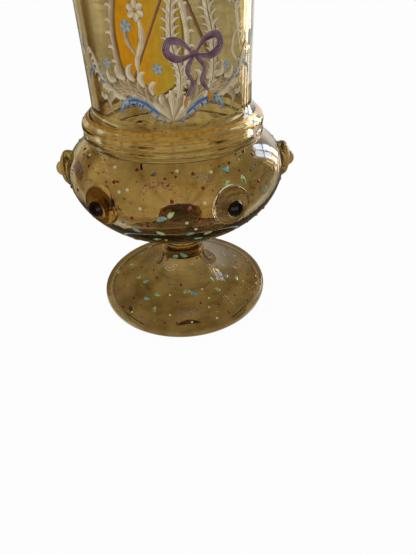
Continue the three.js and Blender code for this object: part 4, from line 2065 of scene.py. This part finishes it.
@dataclass
class GiltLines:
    """The gold lines that circle the collar, the merese and the rim."""

    gold: Gilding = Gilding()
    segments: int = 224
    lift: float = 0.04
    steps: int = 6

    def line(self, face: Sequence[Flat], low: float, high: float) -> list[Flat]:
        """A line's profile on a face, between two heights.

        Args:
            face: The glass profile that carries it.
            low: The line's lower edge in millimetres.
            high: Its upper edge.

        Returns:
            The profile.
        """
        profile = []
        for k in range(self.steps + 1):
            height = low + (high - low) * k / self.steps
            lift = self.lift * (0.3 if k in (0, self.steps) else 1.0)
            for (r1, z1), (r2, z2) in zip(face, face[1:]):
                if min(z1, z2) <= height <= max(z1, z2) and abs(z2 - z1) > 1e-9:
                    share = (height - z1) / (z2 - z1)
                    slope = Vector((z2 - z1, r1 - r2)).normalized() * lift
                    profile.append((r1 + (r2 - r1) * share + slope.x, height + slope.y))
                    break
        return profile

    def build(self) -> Iterator[bpy.types.Object]:
        """Lays all lines.

        Yields:
            Each line.
        """
        f = FORM
        gold = self.gold.material()
        half = f.merese_disc / 2
        upper = f.upper_ring()
        button = arc((f.merese_radius - half, f.foot_height + f.seat_gap + half), half, half, 0, 80, 12)
        rim = f.cup(0.0, f.rim - 8, f.rim - 1.35)
        for name, face, base, low, high in (
            ("collar_gilt_line_wide", upper, f.crest_height, 3.3, 4.4),
            ("collar_gilt_line_fine", upper, f.crest_height, 1.1, 1.8),
            ("groove_gilt_line", upper, f.groove_height, 0.2, 0.8),
            ("merese_gilt_line", button, button[0][1], 0.6, 1.3),
            ("rim_gilt_line", rim, f.rim, -3.6, -1.4),
        ):
            profile = self.line(face, base + low, base + high)
            yield MeshBuilder(name).revolve(profile, self.segments).build([gold], "ring_glass")


@dataclass(frozen=True)
class SoftLamp:
    """A rectangular soft lamp that faces the goblet's axis, in metres."""

    name: str
    azimuth: float
    distance: float
    low: float
    high: float
    width: float
    level: float
    colour: tuple[float, float, float]
    glints: bool = True

    def build(self) -> None:
        """Makes the lamp, with its power set from how bright its face is."""
        rise = self.high - self.low
        data = bpy.data.lights.new(self.name, "AREA")
        data.shape = "RECTANGLE"
        data.size = self.width
        data.size_y = rise
        data.energy = self.level * math.pi * self.width * rise
        data.color = self.colour
        lamp = linked(self.name, data)
        angle = math.radians(self.azimuth)
        away = Vector((math.sin(angle), -math.cos(angle), 0))
        lamp.location = away * self.distance + Vector((0, 0, (self.low + self.high) / 2))
        lamp.rotation_mode = "QUATERNION"
        lamp.rotation_quaternion = away.to_track_quat("Z", "Y")
        lamp.visible_camera = False
        lamp.visible_glossy = self.glints
        lamp.visible_diffuse = not self.glints


def window_panes() -> tuple[SoftLamp, ...]:
    """The panes of a tall window right of the goblet, as two columns of four with bars between.

    Returns:
        The lamps that stand for them.
    """
    cool, warm = (0.52, 0.69, 1.0), (1.0, 0.84, 0.6)
    rows = (
        (0.0, 0.085, 0.014, 3.6, warm),
        (0.09, 0.16, 0.03, 12.0, warm),
        (0.165, 0.222, 0.044, 11.0, cool),
        (0.232, 0.29, 0.044, 12.0, cool),
    )
    return tuple(
        SoftLamp(f"window_pane_{column}_{row}", azimuth, 0.33, *pane)
        for column, azimuth in enumerate((118.5, 128.0), start=1)
        for row, pane in enumerate(rows, start=1)
    )


@dataclass
class Studio:
    """Pale floor, soft lamps and a white surrounding."""

    lamps: tuple[SoftLamp, ...]
    floor_radius: float = 4.0
    floor_colour: Colour = (0.82, 0.82, 0.82, 1.0)
    room_colour: Colour = (0.9, 0.88, 0.84, 1.0)
    room_level: float = 0.75
    ceiling_colour: Colour = (0.16, 0.13, 0.1, 1.0)
    card_colour: Colour = (0.28, 0.22, 0.14, 1.0)
    card_radius: float = 120.0
    card_height: float = 260.0
    card_steps: int = 24
    floor_card_radius: float = 600.0
    card_spans: tuple[Flat, ...] = ((-190.0, -25.0), (34.0, 96.0))
    glow: float = 0.96

    @staticmethod
    def seen_through(shader: Shader) -> bpy.types.Node:
        """How much a ray is one from the camera, from gloss or through glass.

        Args:
            shader: The tree that asks.

        Returns:
            One for such a ray, else nought.
        """
        path = shader.node("LightPath").outputs
        first = shader.calc("MAXIMUM", path["Is Camera Ray"], path["Is Glossy Ray"])
        return shader.calc("MAXIMUM", first, path["Is Transmission Ray"])

    @staticmethod
    def stand(
        name: str, places: Sequence[Vector], faces: Sequence[Sequence[int]], finish: bpy.types.Material
    ) -> bpy.types.Object:
        """Makes a flat-shaded thing of the studio.

        Args:
            name: Its name.
            places: Its vertices in metres.
            faces: Their numbers, face by face.
            finish: Its material.

        Returns:
            The object.
        """
        mesh = bpy.data.meshes.new(name)
        mesh.from_pydata([tuple(place) for place in places], [], faces)
        mesh.materials.append(finish)
        made = linked(name, mesh)
        return made

    def floor(self) -> None:
        """Makes the floor, which keeps the goblet's soft shadow."""
        made, shader = new_material("studio_floor")
        matte = shader.node("BsdfDiffuse", Color=self.floor_colour)
        white = shader.node("Emission", Color=LIT, Strength=1.0)
        fac = shader.calc("MULTIPLY", self.seen_through(shader), self.glow)
        shader.node("OutputMaterial", Surface=shader.node("MixShader", fac, matte, white))
        rim = arc((0.0, 0.0), self.floor_radius, self.floor_radius, 0, 360, 48)[:-1]
        self.stand("studio_floor", [Vector((x, y, 0)) for x, y in rim], [range(len(rim))], made)

    def cards(self) -> None:
        """Sets dark cards beside and under the goblet, which only gloss sees, for deep edges in the glass."""
        made, shader = new_material("studio_card")
        shader.node("OutputMaterial", Surface=shader.node("BsdfDiffuse", Color=self.card_colour))
        low, high = (self.card_radius, 0.5), (self.card_radius, self.card_height)
        cards = [(f"studio_card_{k}", span, low, high) for k, span in enumerate(self.card_spans, start=1)]
        inner, outer = (FORM.foot_radius + 4, 0.3), (self.floor_card_radius, 0.3)
        cards.append(("studio_floor_card", (0.0, 360.0), inner, outer))
        for name, (start, stop), near, far in cards:
            turns = [start + (stop - start) * k / self.card_steps for k in range(self.card_steps + 1)]
            places = [around(azimuth, *edge) for azimuth in turns for edge in (near, far)]
            faces = [(2 * k, 2 * k + 2, 2 * k + 3, 2 * k + 1) for k in range(self.card_steps)]
            card = self.stand(name, places, faces, made)
            for rays in ("camera", "diffuse", "transmission", "shadow"):
                setattr(card, f"visible_{rays}", False)

    def surrounding(self) -> None:
        """Sets the world: white round the goblet, a dim ceiling, and a plain soft light for the rest."""
        world = bpy.data.worlds.new("studio")
        bpy.context.scene.world = world
        world.use_nodes = True
        shader = Shader(world.node_tree)
        light = shader.node("Background", Color=self.room_colour, Strength=self.room_level)
        height = shader.node("SeparateXYZ", shader.node("TexCoord").outputs["Generated"]).outputs["Z"]
        ceiling = shader.ramp(height, ((0.3, LIT), (0.62, self.ceiling_colour)))
        straight = shader.node("LightPath").outputs["Is Camera Ray"]
        shown = shader.node("Background", Color=shader.mix(straight, ceiling, LIT), Strength=1.0)
        shader.node("OutputWorld", Surface=shader.node("MixShader", self.seen_through(shader), light, shown))

    def build(self) -> None:
        """Makes floor, cards, world and lamps, and sets how light is followed through glass."""
        self.floor()
        self.cards()
        self.surrounding()
        for lamp in self.lamps:
            lamp.build()
        scene = bpy.context.scene
        scene.view_settings.view_transform = "Standard"
        scene.cycles.max_bounces = 20
        scene.cycles.transmission_bounces = 20
        scene.cycles.glossy_bounces = 8
        scene.cycles.transparent_max_bounces = 24


POLE_ROOM = 6.0
WAIST_ROOM = 2.0
TREAD_SPAN: Span = (15.0, 44.0)
TREAD_HEIGHT = 8.0


def on_bulb(dice: random.Random) -> tuple[float, float, float]:
    """A random azimuth, radius and height on the bulb."""
    height = dice.uniform(FORM.bulb_pole + POLE_ROOM, FORM.waist_base - WAIST_ROOM)
    return dice.uniform(0, 360), FORM.bulb_side(height), height


def on_foot(dice: random.Random) -> tuple[float, float, float]:
    """A place near the foot's tread, even over its area.

    Args:
        dice: The random draws.

    Returns:
        Its azimuth, radius and height.
    """
    inner, outer = TREAD_SPAN
    radius = math.sqrt(dice.uniform(inner**2, outer**2))
    return dice.uniform(0, 360), radius, TREAD_HEIGHT


def main() -> None:
    """Builds and dresses the goblet, then the studio and the camera."""
    logging.basicConfig(level=logging.INFO, format="%(name)s: %(message)s")
    body_tints = (
        (43, (214, 188, 128)),
        (60, (184, 162, 114)),
        (74, (212, 194, 150)),
        (96, (212, 195, 150)),
        (116, (206, 193, 156)),
        (150, (207, 197, 163)),
    )
    fold = FORM.fold_height
    foot_tints = (
        (0, (134, 108, 62)),
        (fold - 0.9, (132, 106, 60)),
        (fold - 0.1, (98, 74, 32)),
        (fold + 1.4, (120, 95, 47)),
        (14, (128, 103, 55)),
        (34, (170, 140, 82)),
    )
    foot_sheen, pad_sheen = (0.3, 0.26, 0.21, 1.0), (0.75, 0.72, 0.68, 1.0)
    ring_tints = ((94, (196, 174, 120)), (104, (222, 208, 164)))
    pad_tints = ((70, (242, 228, 190)), (90, (246, 234, 198)))
    prunts = Prunts(
        Glass("prunt_glass", pad_tints, patch_depth=0.3, dashes=0.4, sheen=pad_sheen),
        # Painted shade: the deep and side prunt glasses are darker copies of the prunt glass.
        Glass("painted_shade_prunt_glass", ((70, (176, 128, 52)), (90, (196, 156, 86))), patch_depth=0.4),
        Glass("profile_painted_shade_prunt_glass", ((70, (186, 156, 92)), (90, (176, 144, 80))), patch_depth=0.4),
        Glass("jewel_stone", ((70, (12, 6, 3)), (90, (14, 7, 4))), sheen=LIT),
        # Painted light: the amber jewel is a lighter copy of the jewel stone, for the jewels in profile.
        Glass("painted_light_jewel", ((70, (182, 146, 84)), (90, (192, 156, 96))), patch_depth=0.4),
    )
    foot_glass = Glass(
        "foot_glass", foot_tints, patch_scale=90.0, patch_depth=0.3, dashes=0.3, streaks=0.3, ripple=0.045,
        sheen=foot_sheen,
    )
    camera, paints = PhotoCamera(), Paint.materials()
    centres = [prunts.place(azimuth).translation for azimuth in FORM.prunt_azimuths]
    bulb_plan = Sprinkle(on_bulb, beads=74, leaves=22, arcs=5, threads=80, flecks=360)
    foot_plan = Sprinkle(on_foot, beads=20, leaves=8, arcs=1, threads=40, flecks=70)
    # The bowl's glass paints shade on the bulb's right side.
    bowl_glass = Glass("bowl_glass", body_tints, shaded=0.28)
    ring_glass = Glass("collar_glass", ring_tints, dashes=0.5, ripple=0.04)
    for assembly in (
        Bowl(bowl_glass, ring_glass),
        FootAndStem(foot_glass, Glass("merese_glass", ((35, (140, 104, 42)), (42, (206, 180, 120))))),
        prunts,
        EnamelledFace("bulb_enamel", Canvas(FORM.bulb()), camera, BULB_MARKS, bulb_plan, paints, centres, 11),
        EnamelledFace("foot_enamel", Canvas(FORM.tread()), camera, FOOT_MARKS, foot_plan, paints, [], 23),
        PaintedCup(),
        GiltLines(),
    ):
        for piece in assembly.build():
            LOG.info("%s: %d faces", piece.name, len(piece.data.polygons))
    sunlit_frame = SoftLamp(
        "sunlit_frame_lamp", azimuth=110.0, distance=0.33, low=0.06, high=0.2, width=0.024, level=6.0,
        colour=(1.0, 0.74, 0.42),
    )
    room = SoftLamp(
        "room_lamp", azimuth=-35.0, distance=1.6, low=0.7, high=1.9, width=1.4, level=1.6,
        colour=(1.0, 0.97, 0.92), glints=False,
    )
    Studio((*window_panes(), sunlit_frame, room)).build()
    camera.build()


if __name__ == "__main__":
    main()
